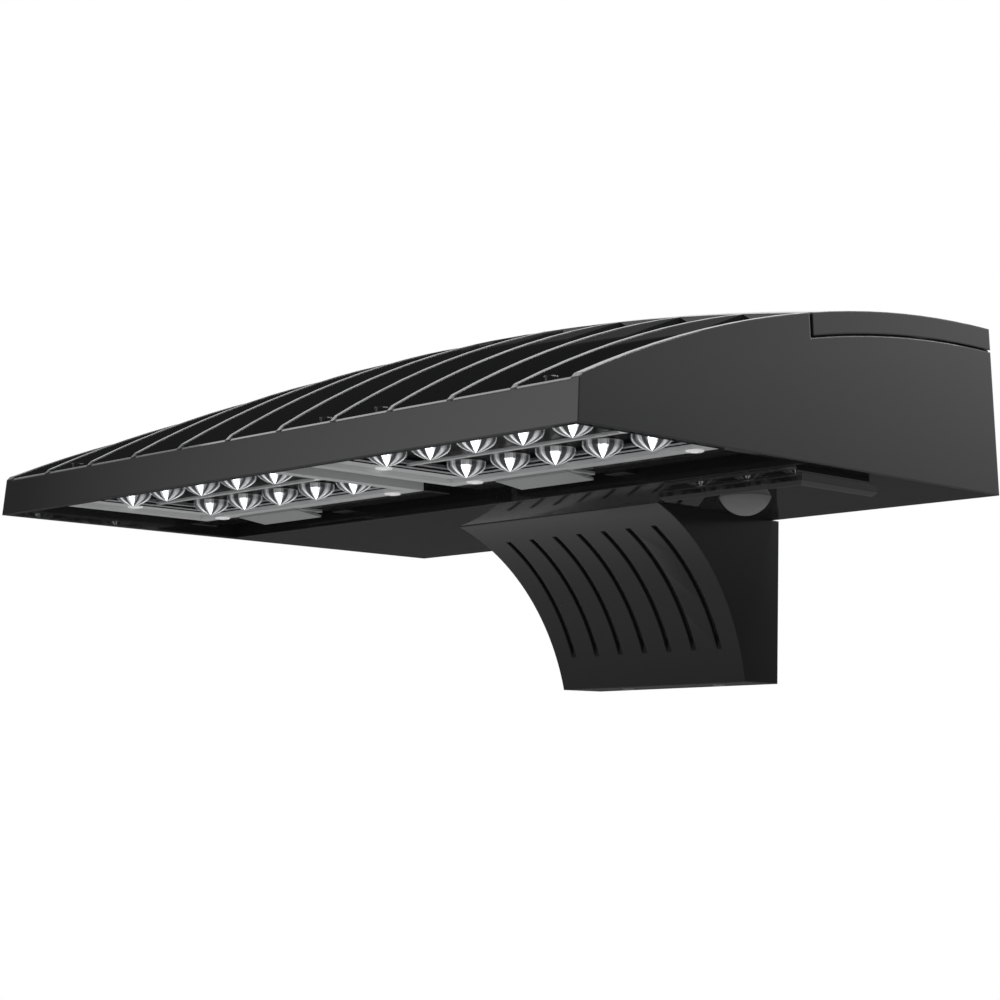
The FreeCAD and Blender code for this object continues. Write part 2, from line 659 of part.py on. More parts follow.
for side, middle in module_sides:
    def across(low, high):
        return (f"{middle} + {low}", f"{middle} + {high}")

    def bored(name, block, span):
        """The block with a clearance hole for every module screw."""
        holes = [rod(f"{name}_hole_{index}", "z", span, "small_screw_radius + fit_gap", x=f"{middle} + {x}", y=y)
                 for index, (x, y, seat) in enumerate(screw_places)]
        return cut(name, block, *holes)

    ring = cut(f"seal_ring_{side}",
               box(f"seal_outer_{side}", across("-module_half + 1", "module_half - 1"),
                   ("-module_front + 1", "-module_rear - 1"), (frame_top, "bay_depth")),
               box(f"seal_inner_{side}", across(f"-{opening_x} - lens_lap - 1", f"{opening_x} + lens_lap + 1"),
                   (f"{opening_front} - lens_lap - 1", f"{opening_rear} + lens_lap + 1"), ("0", above)))
    finish(bored(f"seal_{side}", ring, (f"{frame_top} - 1", "bay_depth + 1")), f"module_gasket_{side}")

    board = box(f"board_{side}", across(f"-{opening_x} - board_inset", f"{opening_x} + board_inset"),
                (f"{opening_front} - board_inset", f"{opening_rear} + board_inset"), (lens_top, "bay_depth"))
    finish(board, f"led_board_{side}", f"{middle} - {opening_x} - board_inset",
           f"{opening_front} - board_inset", lens_top)

    chips = [box(f"chip_{side}_{index}", across(f"{x} - chip_side / 2", f"{x} + chip_side / 2"),
                 (f"{y} - chip_side / 2", f"{y} + chip_side / 2"), (f"{lens_top} - chip_thick", lens_top))
             for index, (x, y) in enumerate(lens_places)]
    finish(group(f"chips_{side}", *chips), f"led_chips_{side}")

    sheet = box(f"sheet_{side}", across(f"-{opening_x} - lens_lap + fit_gap", f"{opening_x} + lens_lap - fit_gap"),
                (f"{opening_front} - lens_lap + fit_gap", f"{opening_rear} + lens_lap - fit_gap"),
                (lens_low, lens_top))
    domes = []
    pockets = []
    for index, (x, y) in enumerate(lens_places):
        place = {"x": f"{middle} + {x}", "y": y}
        bowl = doc.addObject("Part::Ellipsoid", f"dome_{side}_{index}")
        bind(bowl, "Radius1", "dome_height")
        bind(bowl, "Radius2", "dome_radius")
        bind(bowl, "Angle2", "0")
        for axis, text in {**place, "z": lens_low}.items():
            bind(bowl, "Placement.Base." + axis, text)
        domes.append(bowl)
        ring_rod = rod(f"dome_ring_{side}_{index}", "z", (f"{lens_low} - dome_ring_rise", lens_top),
                       "dome_ring", **place)
        domes.append(ring_rod)
        pockets.append(rod(f"chip_pocket_{side}_{index}", "z", (f"{lens_top} - chip_pocket_depth", lens_top),
                           "chip_pocket_radius", **place))
    finish(cut(f"lens_{side}", fuse(f"lens_solid_{side}", sheet, *domes), group(f"pockets_{side}", *pockets)),
           f"lens_plate_{side}")

    outside = box(f"frame_block_{side}", across("-module_half", "module_half"), ("-module_front", "-module_rear"),
                  ("module_level", frame_top))
    rim = box(f"frame_rim_{side}", across(f"-{rim_x}", rim_x), (rim_front, opening_rear), ("0", lip_level))
    window = box(f"frame_window_{side}", across(f"-{opening_x}", opening_x), (opening_front, opening_rear),
                 ("0", above))
    rebate = box(f"frame_rebate_{side}", across(f"-{opening_x} - lens_lap", f"{opening_x} + lens_lap"),
                 (f"{opening_front} - lens_lap", f"{opening_rear} + lens_lap"), (lens_low, above))
    finish(bored(f"frame_{side}", cut(f"frame_ring_{side}", outside, rim, window, rebate), ("0", "bay_depth + 1")),
           f"lens_frame_{side}")

    slope = [("-module_rear - wire_cover_lap", "module_level"),
             ("-module_rear", "module_level"),
             ("-module_rear + wire_cover_reach", "module_level - wire_cover_drop"),
             ("-module_rear + wire_cover_reach", "module_level - wire_cover_drop - wire_cover_thick"),
             ("-module_rear", "module_level - wire_cover_thick"),
             ("-module_rear - wire_cover_lap", "module_level - wire_cover_thick")]
    finish(extrusion(f"ramp_{side}", slope, across("-wire_cover_start", "-wire_cover_end")), f"wire_cover_{side}")

    grommet = box(f"grommet_block_{side}", across("-wire_cover_end + 1", "-wire_cover_end + 1 + grommet_width"),
                  ("-bay_rear - grommet_depth", "-bay_rear"), ("module_level", "bay_depth"))
    lead_x = f"{middle} - wire_cover_end + grommet_width / 2 + 1"
    passage = rod(f"grommet_hole_{side}", "y", ("-bay_rear - grommet_depth - 1", "-bay_rear + 1"),
                  "lead_radius + running_gap", x=lead_x, z="lead_height")
    finish(cut(f"grommet_{side}", grommet, passage), f"wire_grommet_{side}")

    all_module_screws += [screw_up(f"module_screw_{side}_{index}", f"{middle} + {x}", y, seat,
                                   "module_head_radius", "module_head_height", "small_screw_radius", "bay_depth")
                          for index, (x, y, seat) in enumerate(screw_places)]
finish(group("module_screw_set", *all_module_screws), "module_screws")

# Sensor: base on the underside, cover with a turning dome lens, and the parts behind it
base_low = "(-sensor_base_depth)"
cover_low = "(-sensor_base_depth - sensor_cover_depth)"
sensor_x = ("sensor_left + sensor_inset", "sensor_right - sensor_inset")
sensor_y = ("-bay_rear + sensor_front_inset", "-sensor_rear - sensor_inset")


def inset(span, amount):
    low, high = span
    return (f"{low} + {amount}", f"{high} - ({amount})")


base_block = box("sensor_base_block", sensor_x, sensor_y, (base_low, "0"))
room_x = ("sensor_left + sensor_strip", "sensor_right - sensor_strip - sensor_wall * 3")
room_y = inset(sensor_y, "sensor_wall")
base_room = box("sensor_base_room", room_x, room_y, (f"{base_low} - 1", "-sensor_wall / 2"))
base_hole = rod("sensor_base_hole", "z", (f"{base_low} - 1", "1"), "lead_radius + fit_gap",
                x="sensor_lead_x", y="-sensor_lead_y")
base_screw_holes = [rod(f"sensor_base_screw_{index}", "z", (f"{base_low} - 1", "1"),
                        "small_screw_radius + running_gap", x=x, y=y)
                    for index, (x, y) in enumerate(sensor_screw_places)]
finish(cut("sensor_base_shell", base_block, base_room, base_hole, *base_screw_holes), "sensor_base")

outer_x = ("sensor_left", "sensor_right")
outer_y = ("-bay_rear", "-sensor_rear")
soft_edge = doc.addObject("Part::Chamfer", "sensor_cover_edges")
soft_edge.Base = box("sensor_cover_block", outer_x, outer_y, (cover_low, base_low))
doc.recompute()
low_edges = [index for index, edge in enumerate(soft_edge.Base.Shape.Edges, start=1)
             if edge.BoundBox.ZMax < -SIZES["sensor_base_depth"] - 0.1]
soft_edge.Edges = [(index, SIZES["sensor_edge"], SIZES["sensor_edge"]) for index in low_edges]
cover_room = box("sensor_cover_room", inset(outer_x, "sensor_wall"), inset(outer_y, "sensor_wall"),
                 (f"{cover_low} + sensor_wall", above))
cover_hole = rod("sensor_cover_hole", "z", (f"{cover_low} - 1", above), "eye_radius + fit_gap",
                 x="sensor_eye_x", y="-sensor_eye_y")
finish(cut("sensor_cover_shell", soft_edge, cover_room, cover_hole), "sensor_cover")

# Dome lens of the sensor: a thin cap on a flange that turns in the cover's hole
eye_ball = "((eye_radius^2 + eye_height^2) / (2 * eye_height))"
eye_top = f"({cover_low} + sensor_wall + fit_gap)"
eye_place = {"x": "sensor_eye_x", "y": "-sensor_eye_y"}
eye_caps = []
for name, cap_radius in (("eye_outside", eye_ball), ("eye_inside", f"({eye_ball} - eye_wall)")):
    cap = doc.addObject("Part::Sphere", name)
    bind(cap, "Radius", cap_radius)
    bind(cap, "Angle2", f"asin((eye_height - {eye_ball}) / {cap_radius})")
    bind(cap, "Placement.Base.z", f"{cover_low} - eye_height + {eye_ball}")
    for axis, text in eye_place.items():
        bind(cap, "Placement.Base." + axis, text)
    eye_caps.append(cap)
eye_neck = rod("eye_neck", "z", (cover_low, f"{eye_top} + eye_flange_thick"), "eye_radius", **eye_place)
eye_rim = rod("eye_rim", "z", (eye_top, f"{eye_top} + eye_flange_thick"), "eye_flange", **eye_place)
eye_bore = rod("eye_bore", "z", (f"{cover_low} - eye_wall / 2", above), "eye_radius - eye_wall * 2", **eye_place)
finish(cut("eye", fuse("eye_solid", eye_caps[0], eye_neck, eye_rim), eye_caps[1], eye_bore), "sensor_lens")

# Board, detector can and screws of the sensor
board_low = f"({base_low} + fit_gap)"
board_x = inset(room_x, "fit_gap")
board_y = inset(room_y, "fit_gap")
finish(box("sensor_board_block", board_x, board_y, (board_low, f"{board_low} + board_thick")), "sensor_board",
       board_x[0], board_y[0], board_low)
can = rod("sensor_can", "z", (f"{board_low} - sensor_can_height", board_low), "sensor_can_radius", **eye_place)
finish(can, "sensor_eye", "sensor_eye_x", "-sensor_eye_y", f"{board_low} - sensor_can_height")
sensor_screws = [screw(f"sensor_screw_{index}", x, y, "floor_wall", "small_head_radius", "small_head_height",
                       "small_screw_radius", f"{base_low} + fit_gap")
                 for index, (x, y) in enumerate(sensor_screw_places)]
finish(group("sensor_screw_set", *sensor_screws), "sensor_screws")


# Boxes on the compartment's floor, each with a foot and a screw at both ends
def floor_box(label, x, y, length, width, height):
    case = box(f"{label}_case", (f"{x} - {length} / 2", f"{x} + {length} / 2"),
               (f"-{y} - {width} / 2", f"-{y} + {width} / 2"), ("floor_wall", f"floor_wall + {height}"))
    feet = box(f"{label}_feet", (f"{x} - {length} / 2 - foot_length", f"{x} + {length} / 2 + foot_length"),
               (f"-{y} - {width} / 2", f"-{y} + {width} / 2"), ("floor_wall", "floor_wall + foot_thick"))
    ends = [f"{x} - {length} / 2 - foot_length / 2", f"{x} + {length} / 2 + foot_length / 2"]
    holes = [rod(f"{label}_foot_hole_{index}", "z", ("floor_wall - 1", "floor_wall + foot_thick + 1"),
                 "small_screw_radius + fit_gap", x=end, y=f"-{y}") for index, end in enumerate(ends)]
    finish(cut(f"{label}_box", fuse(f"{label}_solid", case, feet), *holes), label)
    screws = [screw(f"{label}_screw_{index}", end, f"-{y}", "floor_wall + foot_thick", "small_head_radius",
                    "small_head_height", "small_screw_radius", "floor_wall")
              for index, end in enumerate(ends)]
    finish(group(f"{label}_screw_set", *screws), f"{label}_screws")


floor_box("driver", "driver_centre_x", "driver_centre_y", "driver_length", "driver_width", "driver_height")
floor_box("surge_protector", "surge_x", "surge_y", "surge_length", "surge_width", "surge_height")
floor_box("sensor_pack", "pack_x", "pack_y", "pack_length", "pack_width", "pack_height")
floor_box("terminal_block", "terminal_x", "terminal_y", "terminal_length", "terminal_width", "terminal_height")
ground = hexagon("ground_hexagon", "ground_x", "-ground_y", ("floor_wall", "floor_wall + ground_head_height"),
                 "ground_head")
finish(ground, "ground_screw", "ground_x", "-ground_y", "floor_wall")


def lead(label, radius, start, legs):
    """A wire with square turns: each leg runs along one axis, up (+) or down (-), to its target."""
    here = dict(zip("xyz", start))
    lengths = []
    for index, (way, target) in enumerate(legs):
        axis = way[1]
        span = (here[axis], target) if way[0] == "+" else (target, here[axis])
        others = {name: text for name, text in here.items() if name != axis}
        lengths.append(rod(f"{label}_leg_{index}", axis, span, radius, **others))
        here[axis] = target
        if index < len(legs) - 1:
            elbow = doc.addObject("Part::Sphere", f"{label}_elbow_{index}")
            bind(elbow, "Radius", radius)
            for name, text in here.items():
                bind(elbow, "Placement.Base." + name, text)
            lengths.append(elbow)
    if len(lengths) == 1:
        place = {name: text for name, text in zip("xyz", start)}
        finish(lengths[0], label, **place)
    else:
        finish(fuse(f"{label}_run", *lengths), label)


# Wires between driver, modules, sensor and terminals
driver_left = "(driver_centre_x - driver_length / 2)"
driver_right = "(driver_centre_x + driver_length / 2)"
lead_exit = "(grommet_width / 2 + 1 - wire_cover_end)"
lead_start = "(-bay_rear - grommet_depth - lead_tuck)"
lead("lead_left", "lead_radius", (f"{lead_exit} - module_offset", lead_start, "lead_height"),
     [("+y", f"{room_front} + lead_tuck"), ("-x", f"{driver_left} - lead_bend"), ("+z", "lead_rise"),
      ("+y", "-driver_centre_y"), ("+x", driver_left)])
lead("lead_right", "lead_radius", (f"{lead_exit} + module_offset", lead_start, "lead_height"),
     [("+y", f"{room_front} + lead_tuck"), ("+x", f"{driver_right} + lead_detour"), ("+z", "lead_rise"),
      ("+y", "-driver_centre_y"), ("-x", driver_right)])
lead("sensor_lead", "lead_radius", ("sensor_lead_x", "-sensor_lead_y", f"{board_low} + board_thick"),
     [("+z", "supply_height"), ("+y", "-pack_y - pack_width / 2")])
lead("sensor_pack_lead", "lead_radius", ("pack_x - pack_length / 2", "-pack_lead_y", "supply_height"),
     [("-x", "pack_lead_x"), ("-y", "-pack_lead_back"), ("-x", driver_right)])
lead("driver_lead", "lead_radius", ("terminal_x", "-driver_centre_y + driver_width / 2", "supply_height"),
     [("+y", "-terminal_y - terminal_width / 2")])
lead("supply_lead", "supply_radius", ("terminal_x + terminal_length / 2", "-entry_y", "supply_height"),
     [("+x", "0"), ("-z", "-supply_drop"), ("+y", "-supply_end")])

# Wall bracket: flared hollow casting with a hollow-curved grooved front
chord = "sqrt((bracket_reach - bracket_toe)^2 + bracket_height^2)"
rise = f"sqrt(bracket_arc^2 - ({chord} / 2)^2)"
arc_y = f"(-(bracket_reach + bracket_toe) / 2 - {rise} * bracket_height / {chord})"
arc_z = f"(-bracket_height / 2 - {rise} * (bracket_reach - bracket_toe) / {chord})"


def flared_block(name, wall, back):
    """The bracket's block drawn in by a wall on every side but the back."""
    sides = []
    for end, y in (("wall", back), ("front", "-bracket_reach")):
        high = f"-{wall}"
        low = f"{wall} - bracket_height"
        spread = f"bracket_half + tan(bracket_flare) * (wall_gap - ({y})) - {wall}"
        upper = f"({spread} + tan(bracket_taper) * ({high}))"
        lower = f"({spread} + tan(bracket_taper) * ({low}))"
        sketch = doc.addObject("Sketcher::SketchObject", f"{name}_{end}")
        sketch.Placement = FreeCAD.Placement(FreeCAD.Vector(), FreeCAD.Rotation(FreeCAD.Vector(1, 0, 0), 90))
        bind(sketch, "Placement.Base.y", y)
        polygon(sketch, [(f"-{lower}", low), (lower, low), (upper, high), (f"-{upper}", high)])
        sides.append(sketch)
    return loft(name, sides, True)


wide = "(bracket_half * 2)"
groove_lines = [f"({index} - (groove_count - 1) / 2) * groove_pitch" for index in range(int(SIZES["groove_count"]))]
strip_edges = [f"-{wide}", *groove_lines, wide]
front_drums = [rod(f"bracket_front_{index}", "x", span, "bracket_arc", y=arc_y, z=arc_z)
               for index, span in enumerate(zip(strip_edges, strip_edges[1:]))]
bracket_outer = cut("bracket_outer", flared_block("bracket_block", "0", "wall_gap"), *front_drums)
inside_drum = rod("bracket_front_inside", "x", (f"-{wide}", wide), "bracket_arc + bracket_wall", y=arc_y, z=arc_z)
bracket_inner = cut("bracket_inner", flared_block("bracket_hollow", "bracket_wall", "wall_gap + 1"), inside_drum)
grooves = []
for index, middle in enumerate(groove_lines):
    span = (f"{middle} - groove_width / 2", f"{middle} + groove_width / 2")
    deep = rod(f"groove_floor_{index}", "x", span, "bracket_arc + groove_depth", y=arc_y, z=arc_z)
    fade = rod(f"groove_fade_{index}", "x", span, "bracket_arc",
               y=f"{arc_y} + groove_fade * cos(groove_fade_angle)",
               z=f"{arc_z} + groove_fade * sin(groove_fade_angle)")
    below = box(f"groove_stop_{index}", span, ("-bracket_reach", "0"), ("-bracket_height", "-groove_top"))
    grooves.append(common(f"groove_{index}", common(f"groove_run_{index}", deep, fade), below))
seal_x = ("-bolt_x - bolt_head_radius - bracket_seal_margin", "bolt_x + bolt_head_radius + bracket_seal_margin")
seal_y = ("-bolt_front - bracket_seal_margin", "-bolt_rear + bracket_seal_margin * 2")
seal_recess = box("bracket_seal_recess", seal_x, seal_y, ("-bracket_seal", "1"))
through = ("-bracket_wall - 1", "1")
bracket_holes = [rod(f"bracket_bolt_hole_{index}", "z", through, "bolt_radius + bolt_slack", x=x, y=y)
                 for index, (x, y) in enumerate(bolt_places)]
bracket_holes.append(rod("bracket_entry", "z", through, "entry_radius", x="0", y="-entry_y"))
lock_seat = "(lock_head_height - bracket_height)"
lock_places = both_sides(lambda side, sign: f"{sign} * lock_x")
for index, x in enumerate(lock_places):
    place = {"x": x, "y": "wall_gap - lock_back"}
    bracket_holes.append(rod(f"lock_hole_{index}", "z", ("-bracket_height - 1", "bracket_wall + 1 - bracket_height"),
                             "lock_radius + fit_gap", **place))
    bracket_holes.append(rod(f"lock_sink_{index}", "z", ("-bracket_height - 1", lock_seat), "lock_head + fit_gap",
                             **place))
foam_in = "((bracket_wall - wall_seal_width) / 2)"
foam_out = f"({foam_in} + wall_seal_width)"
foam_y = ("wall_gap - bracket_seal * 2", "wall_gap")


def foam_ring(name):
    """The ring that the foam strip fills, in the middle of the bracket's back rim."""
    slab = box(f"{name}_slab", (f"-{wide}", wide), foam_y, ("-bracket_height", "0"))
    outside = common(f"{name}_outside", flared_block(f"{name}_outer", foam_in, "wall_gap"), slab)
    return cut(name, outside, flared_block(f"{name}_inner", foam_out, "wall_gap + 1"))


finish(cut("bracket", bracket_outer, bracket_inner, group("grooves", *grooves), seal_recess,
           foam_ring("foam_groove"), *bracket_holes), "wall_bracket")
finish(foam_ring("foam_strip"), "wall_seal")

# Seal, bolts, nuts and bushing between bracket and housing
seal_holes = [rod(f"bracket_seal_hole_{index}", "z", through, "bolt_radius + bolt_slack", x=x, y=y)
              for index, (x, y) in enumerate(bolt_places)]
seal_holes.append(rod("bracket_seal_entry", "z", through, "entry_radius", x="0", y="-entry_y"))
finish(cut("bracket_seal_sheet", box("bracket_seal_block", seal_x, seal_y, ("-bracket_seal", "0")), *seal_holes),
       "bracket_gasket")
bolts = []
nuts = []
nut_low = "(-bracket_wall - bolt_head_height)"
for index, (x, y) in enumerate(bolt_places):
    head = hexagon(f"bolt_head_{index}", x, y, ("floor_wall", "floor_wall + bolt_head_height"), "bolt_head_radius")
    shank = rod(f"bolt_shank_{index}", "z", (f"{nut_low} - 2", "floor_wall"), "bolt_radius", x=x, y=y)
    bolts.append(fuse(f"bolt_{index}", head, shank))
    nut = hexagon(f"nut_block_{index}", x, y, (nut_low, "-bracket_wall"), "bolt_head_radius")
    nuts.append(cut(f"nut_{index}", nut, rod(f"nut_thread_{index}", "z", (f"{nut_low} - 1", "0"),
                                             "bolt_radius + running_gap", x=x, y=y)))
finish(group("bolt_set", *bolts), "bracket_bolts")
finish(group("nut_set", *nuts), "bracket_nuts")
bushing_low = "(-bracket_wall - bushing_lip)"
bushing_bore = "(entry_radius - bushing_wall)"
finish(turning("bushing", [(bushing_bore, bushing_low),
                           ("entry_radius - running_gap", bushing_low),
                           ("entry_radius - running_gap", "floor_wall"),
                           ("entry_radius + bushing_flange", "floor_wall"),
                           ("entry_radius + bushing_flange", "floor_wall + bushing_lip"),
                           (bushing_bore, "floor_wall + bushing_lip")]), "wire_bushing", "0", "-entry_y")

# Wall plate: steel plate on the outlet box, with a welded hook strip in the bracket's top and one at its bottom
plate_high = "(-bracket_wall - fit_gap)"
plate_low = "(bracket_wall + fit_gap - bracket_height)"
plate_front = "(wall_gap - plate_thick)"
tab_front = "(wall_gap - plate_tab)"
plate = box("plate_sheet", ("-plate_half", "plate_half"), (plate_front, "wall_gap"), (plate_low, plate_high))
hooks = [box(f"hook_strip_{end}", ("-plate_half", "plate_half"), (tab_front, plate_front), span)
         for end, span in (("top", (f"{plate_high} - plate_thick", plate_high)),
                           ("bottom", (plate_low, f"{plate_low} + plate_thick")))]
plate_middle = "(-bracket_height / 2)"
plate_run = (f"{plate_front} - 1", "wall_gap + 1")
plate_holes = [rod(f"anchor_hole_{index}", "y", plate_run, "anchor_radius", x=f"{sign} * anchor_spread / 2",
                   z=f"{plate_middle} + {level} * anchor_rise / 2")
               for index, (sign, level) in enumerate(((-1, -1), (1, -1), (-1, 1), (1, 1)))]
plate_holes += [rod(f"box_hole_{index}", "y", plate_run, "box_radius", x=f"{sign} * box_spread / 2", z=plate_middle)
                for index, sign in enumerate((-1, 1))]
plate_holes.append(rod("wire_hole", "y", plate_run, "wire_hole_radius", x="0", z=plate_middle))
finish(cut("plate", plate, *plate_holes), "wall_plate")
hook_holes = [rod(f"hook_hole_{index}", "z", (f"{plate_low} - 1", f"{plate_low} + plate_thick + 1"),
                  "lock_radius + running_gap", x=x, y="wall_gap - lock_back")
              for index, x in enumerate(lock_places)]
finish(group("hook_set", hooks[0], cut("lock_strip", hooks[1], *hook_holes)), "plate_hooks")
locks = [screw_up(f"lock_screw_{index}", x, "wall_gap - lock_back", lock_seat, "lock_head",
                  "lock_head_height", "lock_radius", f"{plate_low} + plate_thick + 1")
         for index, x in enumerate(lock_places)]
finish(group("lock_set", *locks), "lock_screws")

# Every object has to be sound before its piece is written
doc.recompute()
for item in doc.Objects:
    if "Invalid" in item.State or "Error" in item.State:
        raise RuntimeError(f"{item.Name} did not rebuild: {item.State}")
os.makedirs("parts", exist_ok=True)
for piece in NODES:
    if piece.Shape.isNull() or not piece.Shape.isValid() or piece.Shape.Volume <= 0:
        raise RuntimeError(f"{piece.Label} has no sound solid")
    piece.Shape.exportStep(f"parts/{piece.Label}.step")
    print(piece.Label, len(piece.Shape.Solids), round(piece.Shape.Volume / 1000, 2), "cm3")
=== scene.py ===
import bmesh
import bpy
import math
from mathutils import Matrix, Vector


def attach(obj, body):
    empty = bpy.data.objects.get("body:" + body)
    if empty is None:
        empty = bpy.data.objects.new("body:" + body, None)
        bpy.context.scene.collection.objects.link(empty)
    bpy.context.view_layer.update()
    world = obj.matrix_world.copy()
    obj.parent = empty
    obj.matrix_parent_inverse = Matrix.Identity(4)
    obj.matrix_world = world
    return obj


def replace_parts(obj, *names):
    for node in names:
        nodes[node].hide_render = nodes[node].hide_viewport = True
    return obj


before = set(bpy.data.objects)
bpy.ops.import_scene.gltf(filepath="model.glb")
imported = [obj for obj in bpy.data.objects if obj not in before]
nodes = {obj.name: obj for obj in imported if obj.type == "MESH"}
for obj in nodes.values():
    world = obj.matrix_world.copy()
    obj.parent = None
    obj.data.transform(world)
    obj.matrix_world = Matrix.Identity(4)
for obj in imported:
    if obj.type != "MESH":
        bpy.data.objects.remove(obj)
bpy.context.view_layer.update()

# Housing: one aluminium die casting, a wedge with cooling fins on its crowned top and an open LED bay below.
# It is blasted and powder coated in semi-gloss black; the coat rounds the edges and leaves a very fine grain.
COAT_BLACK = (0.014, 0.0142, 0.0147, 1)
COAT_SOFT_BLACK = (0.020, 0.0202, 0.0207, 1)


def add_node(tree, kind, values=(), **settings):
    """A shader node with its settings and the values of its open sockets."""
    node = tree.nodes.new(kind)
    for name, value in settings.items():
        setattr(node, name, value)
    for socket, value in dict(values).items():
        node.inputs[socket].default_value = value
    return node


def new_group(name, inputs, outputs):
    """An empty shader node group with its named sockets."""
    tree = bpy.data.node_groups.new(name, "ShaderNodeTree")
    for socket, value in inputs.items():
        item = tree.interface.new_socket(socket, in_out="INPUT", socket_type="NodeSocketFloat")
        item.default_value = value
    for socket, kind in outputs.items():
        tree.interface.new_socket(socket, in_out="OUTPUT", socket_type=kind)
    return tree, tree.nodes.new("NodeGroupInput"), tree.nodes.new("NodeGroupOutput")


def make_coat_grain():
    """Fine grain of a sprayed or moulded skin, with slow patches over it."""
    tree, given, result = new_group("coat_grain", {"Grain Scale": 900.0, "Patch Scale": 14.0},
                                    {"Tone": "NodeSocketFloat", "Height": "NodeSocketFloat"})
    place = add_node(tree, "ShaderNodeTexCoord")
    grain = add_node(tree, "ShaderNodeTexNoise", {"Detail": 2.0, "Roughness": 0.6})
    patch = add_node(tree, "ShaderNodeTexNoise", {"Detail": 2.0, "Roughness": 0.5})
    blend = add_node(tree, "ShaderNodeMix", {"Factor": 0.55})
    tree.links.new(place.outputs["Object"], grain.inputs["Vector"])
    tree.links.new(place.outputs["Object"], patch.inputs["Vector"])
    tree.links.new(given.outputs["Grain Scale"], grain.inputs["Scale"])
    tree.links.new(given.outputs["Patch Scale"], patch.inputs["Scale"])
    tree.links.new(grain.outputs["Fac"], blend.inputs["A"])
    tree.links.new(patch.outputs["Fac"], blend.inputs["B"])
    tree.links.new(blend.outputs["Result"], result.inputs["Tone"])
    tree.links.new(grain.outputs["Fac"], result.inputs["Height"])
    return tree


def make_soft_edge():
    """Normal of an edge that its coat or mould has rounded."""
    tree, given, result = new_group("soft_edge", {"Radius": 0.001}, {"Normal": "NodeSocketVector"})
    rounded = add_node(tree, "ShaderNodeBevel", samples=4)
    tree.links.new(given.outputs["Radius"], rounded.inputs["Radius"])
    tree.links.new(rounded.outputs["Normal"], result.inputs["Normal"])
    return tree


coat_grain = make_coat_grain()
soft_edge = make_soft_edge()


def finish_of(name, dark, light, roughness, specular=0.5, metallic=0.0, grain=900.0, edge=0.0004,
              bump=0.00001, painted_glow=0.0):
    """A surface of two close tones with grain, a band of roughness, rounded edges and, if asked, light of its
    own as a painted highlight.
    """
    material = bpy.data.materials.new(name)
    material.use_nodes = True
    tree = material.node_tree
    shader = tree.nodes["Principled BSDF"]
    shader.inputs["Specular IOR Level"].default_value = specular
    shader.inputs["Metallic"].default_value = metallic
    shader.inputs["Emission Strength"].default_value = painted_glow
    skin = add_node(tree, "ShaderNodeGroup", node_tree=coat_grain)
    skin.inputs["Grain Scale"].default_value = grain
    rim = add_node(tree, "ShaderNodeGroup", node_tree=soft_edge)
    rim.inputs["Radius"].default_value = edge
    colour = add_node(tree, "ShaderNodeMix", data_type="RGBA")
    colour.inputs["A"].default_value = dark
    colour.inputs["B"].default_value = light
    spread = add_node(tree, "ShaderNodeMapRange", {"From Min": 0.3, "From Max": 0.7, "To Min": roughness[0],
                                                   "To Max": roughness[1]})
    relief = add_node(tree, "ShaderNodeBump", {"Strength": 0.4, "Distance": bump})
    tree.links.new(skin.outputs["Tone"], colour.inputs["Factor"])
    tree.links.new(colour.outputs["Result"], shader.inputs["Base Color"])
    if painted_glow > 0:
        tree.links.new(colour.outputs["Result"], shader.inputs["Emission Color"])
    tree.links.new(skin.outputs["Tone"], spread.inputs["Value"])
    tree.links.new(spread.outputs["Result"], shader.inputs["Roughness"])
    tree.links.new(skin.outputs["Height"], relief.inputs["Height"])
    tree.links.new(rim.outputs["Normal"], relief.inputs["Normal"])
    tree.links.new(relief.outputs["Normal"], shader.inputs["Normal"])
    return material


def dress(material, *names):
    """Give CAD nodes a finish in place of their packed one."""
    for name in names:
        slots = nodes[name].data.materials
        slots.clear()
        slots.append(material)


powder_coat = finish_of("black_powder_coat", COAT_BLACK, COAT_SOFT_BLACK, (0.04, 0.06), edge=0.0011,
                        bump=0.000004)
dress(powder_coat, "housing")

# Hood: a second casting in the same black, a lid over the driver compartment that swings on its front edge.
# Two steel pins carry it, a rubber strip seals its joint and two socket screws hold it down at the back.
MM = 0.001
WALL_GAP = 6.2
HALF_BRACKET = 48.2
HOOD_SCREW_X = 150
HOOD_SCREW_Y = -28
HOOD_SCREW_SEAT = 96
# Each screw: head radius, head height, shank radius and length in millimetres
HOOD_SCREW = (4.5, 3.5, 2.5, 25)
# Rings of a screw head, as shares of its radius and height, from the rim to the floor of the socket
HEAD_RINGS = ((1, 0), (1, 0.45), (0.96, 0.75), (0.84, 1), (0.42, 1), (0.42, 0.4))
# The socket's two rings, counted from the end of the shank
SOCKET_RINGS = (6, 7)
UP = 1
DOWN = -1


def grey(level):
    """An even grey as a shader colour."""
    return (level, level, level, 1)


rubber = finish_of("black_rubber", grey(0.010), grey(0.018), (0.55, 0.7), specular=0.3)
zinc = finish_of("zinc_plate", (0.56, 0.56, 0.55, 1), (0.68, 0.68, 0.66, 1), (0.22, 0.34), metallic=1.0,
                 edge=0.0002)
dress(powder_coat, "rear_cover")
dress(rubber, "cover_gasket")
dress(zinc, "cover_hinge_pins")


def spot(x, y, z):
    """A place of the drawing, measured from the housing's back and rim, as a point at the wall in metres."""
    return Vector((x * MM, (y - WALL_GAP) * MM, (z + HALF_BRACKET) * MM))


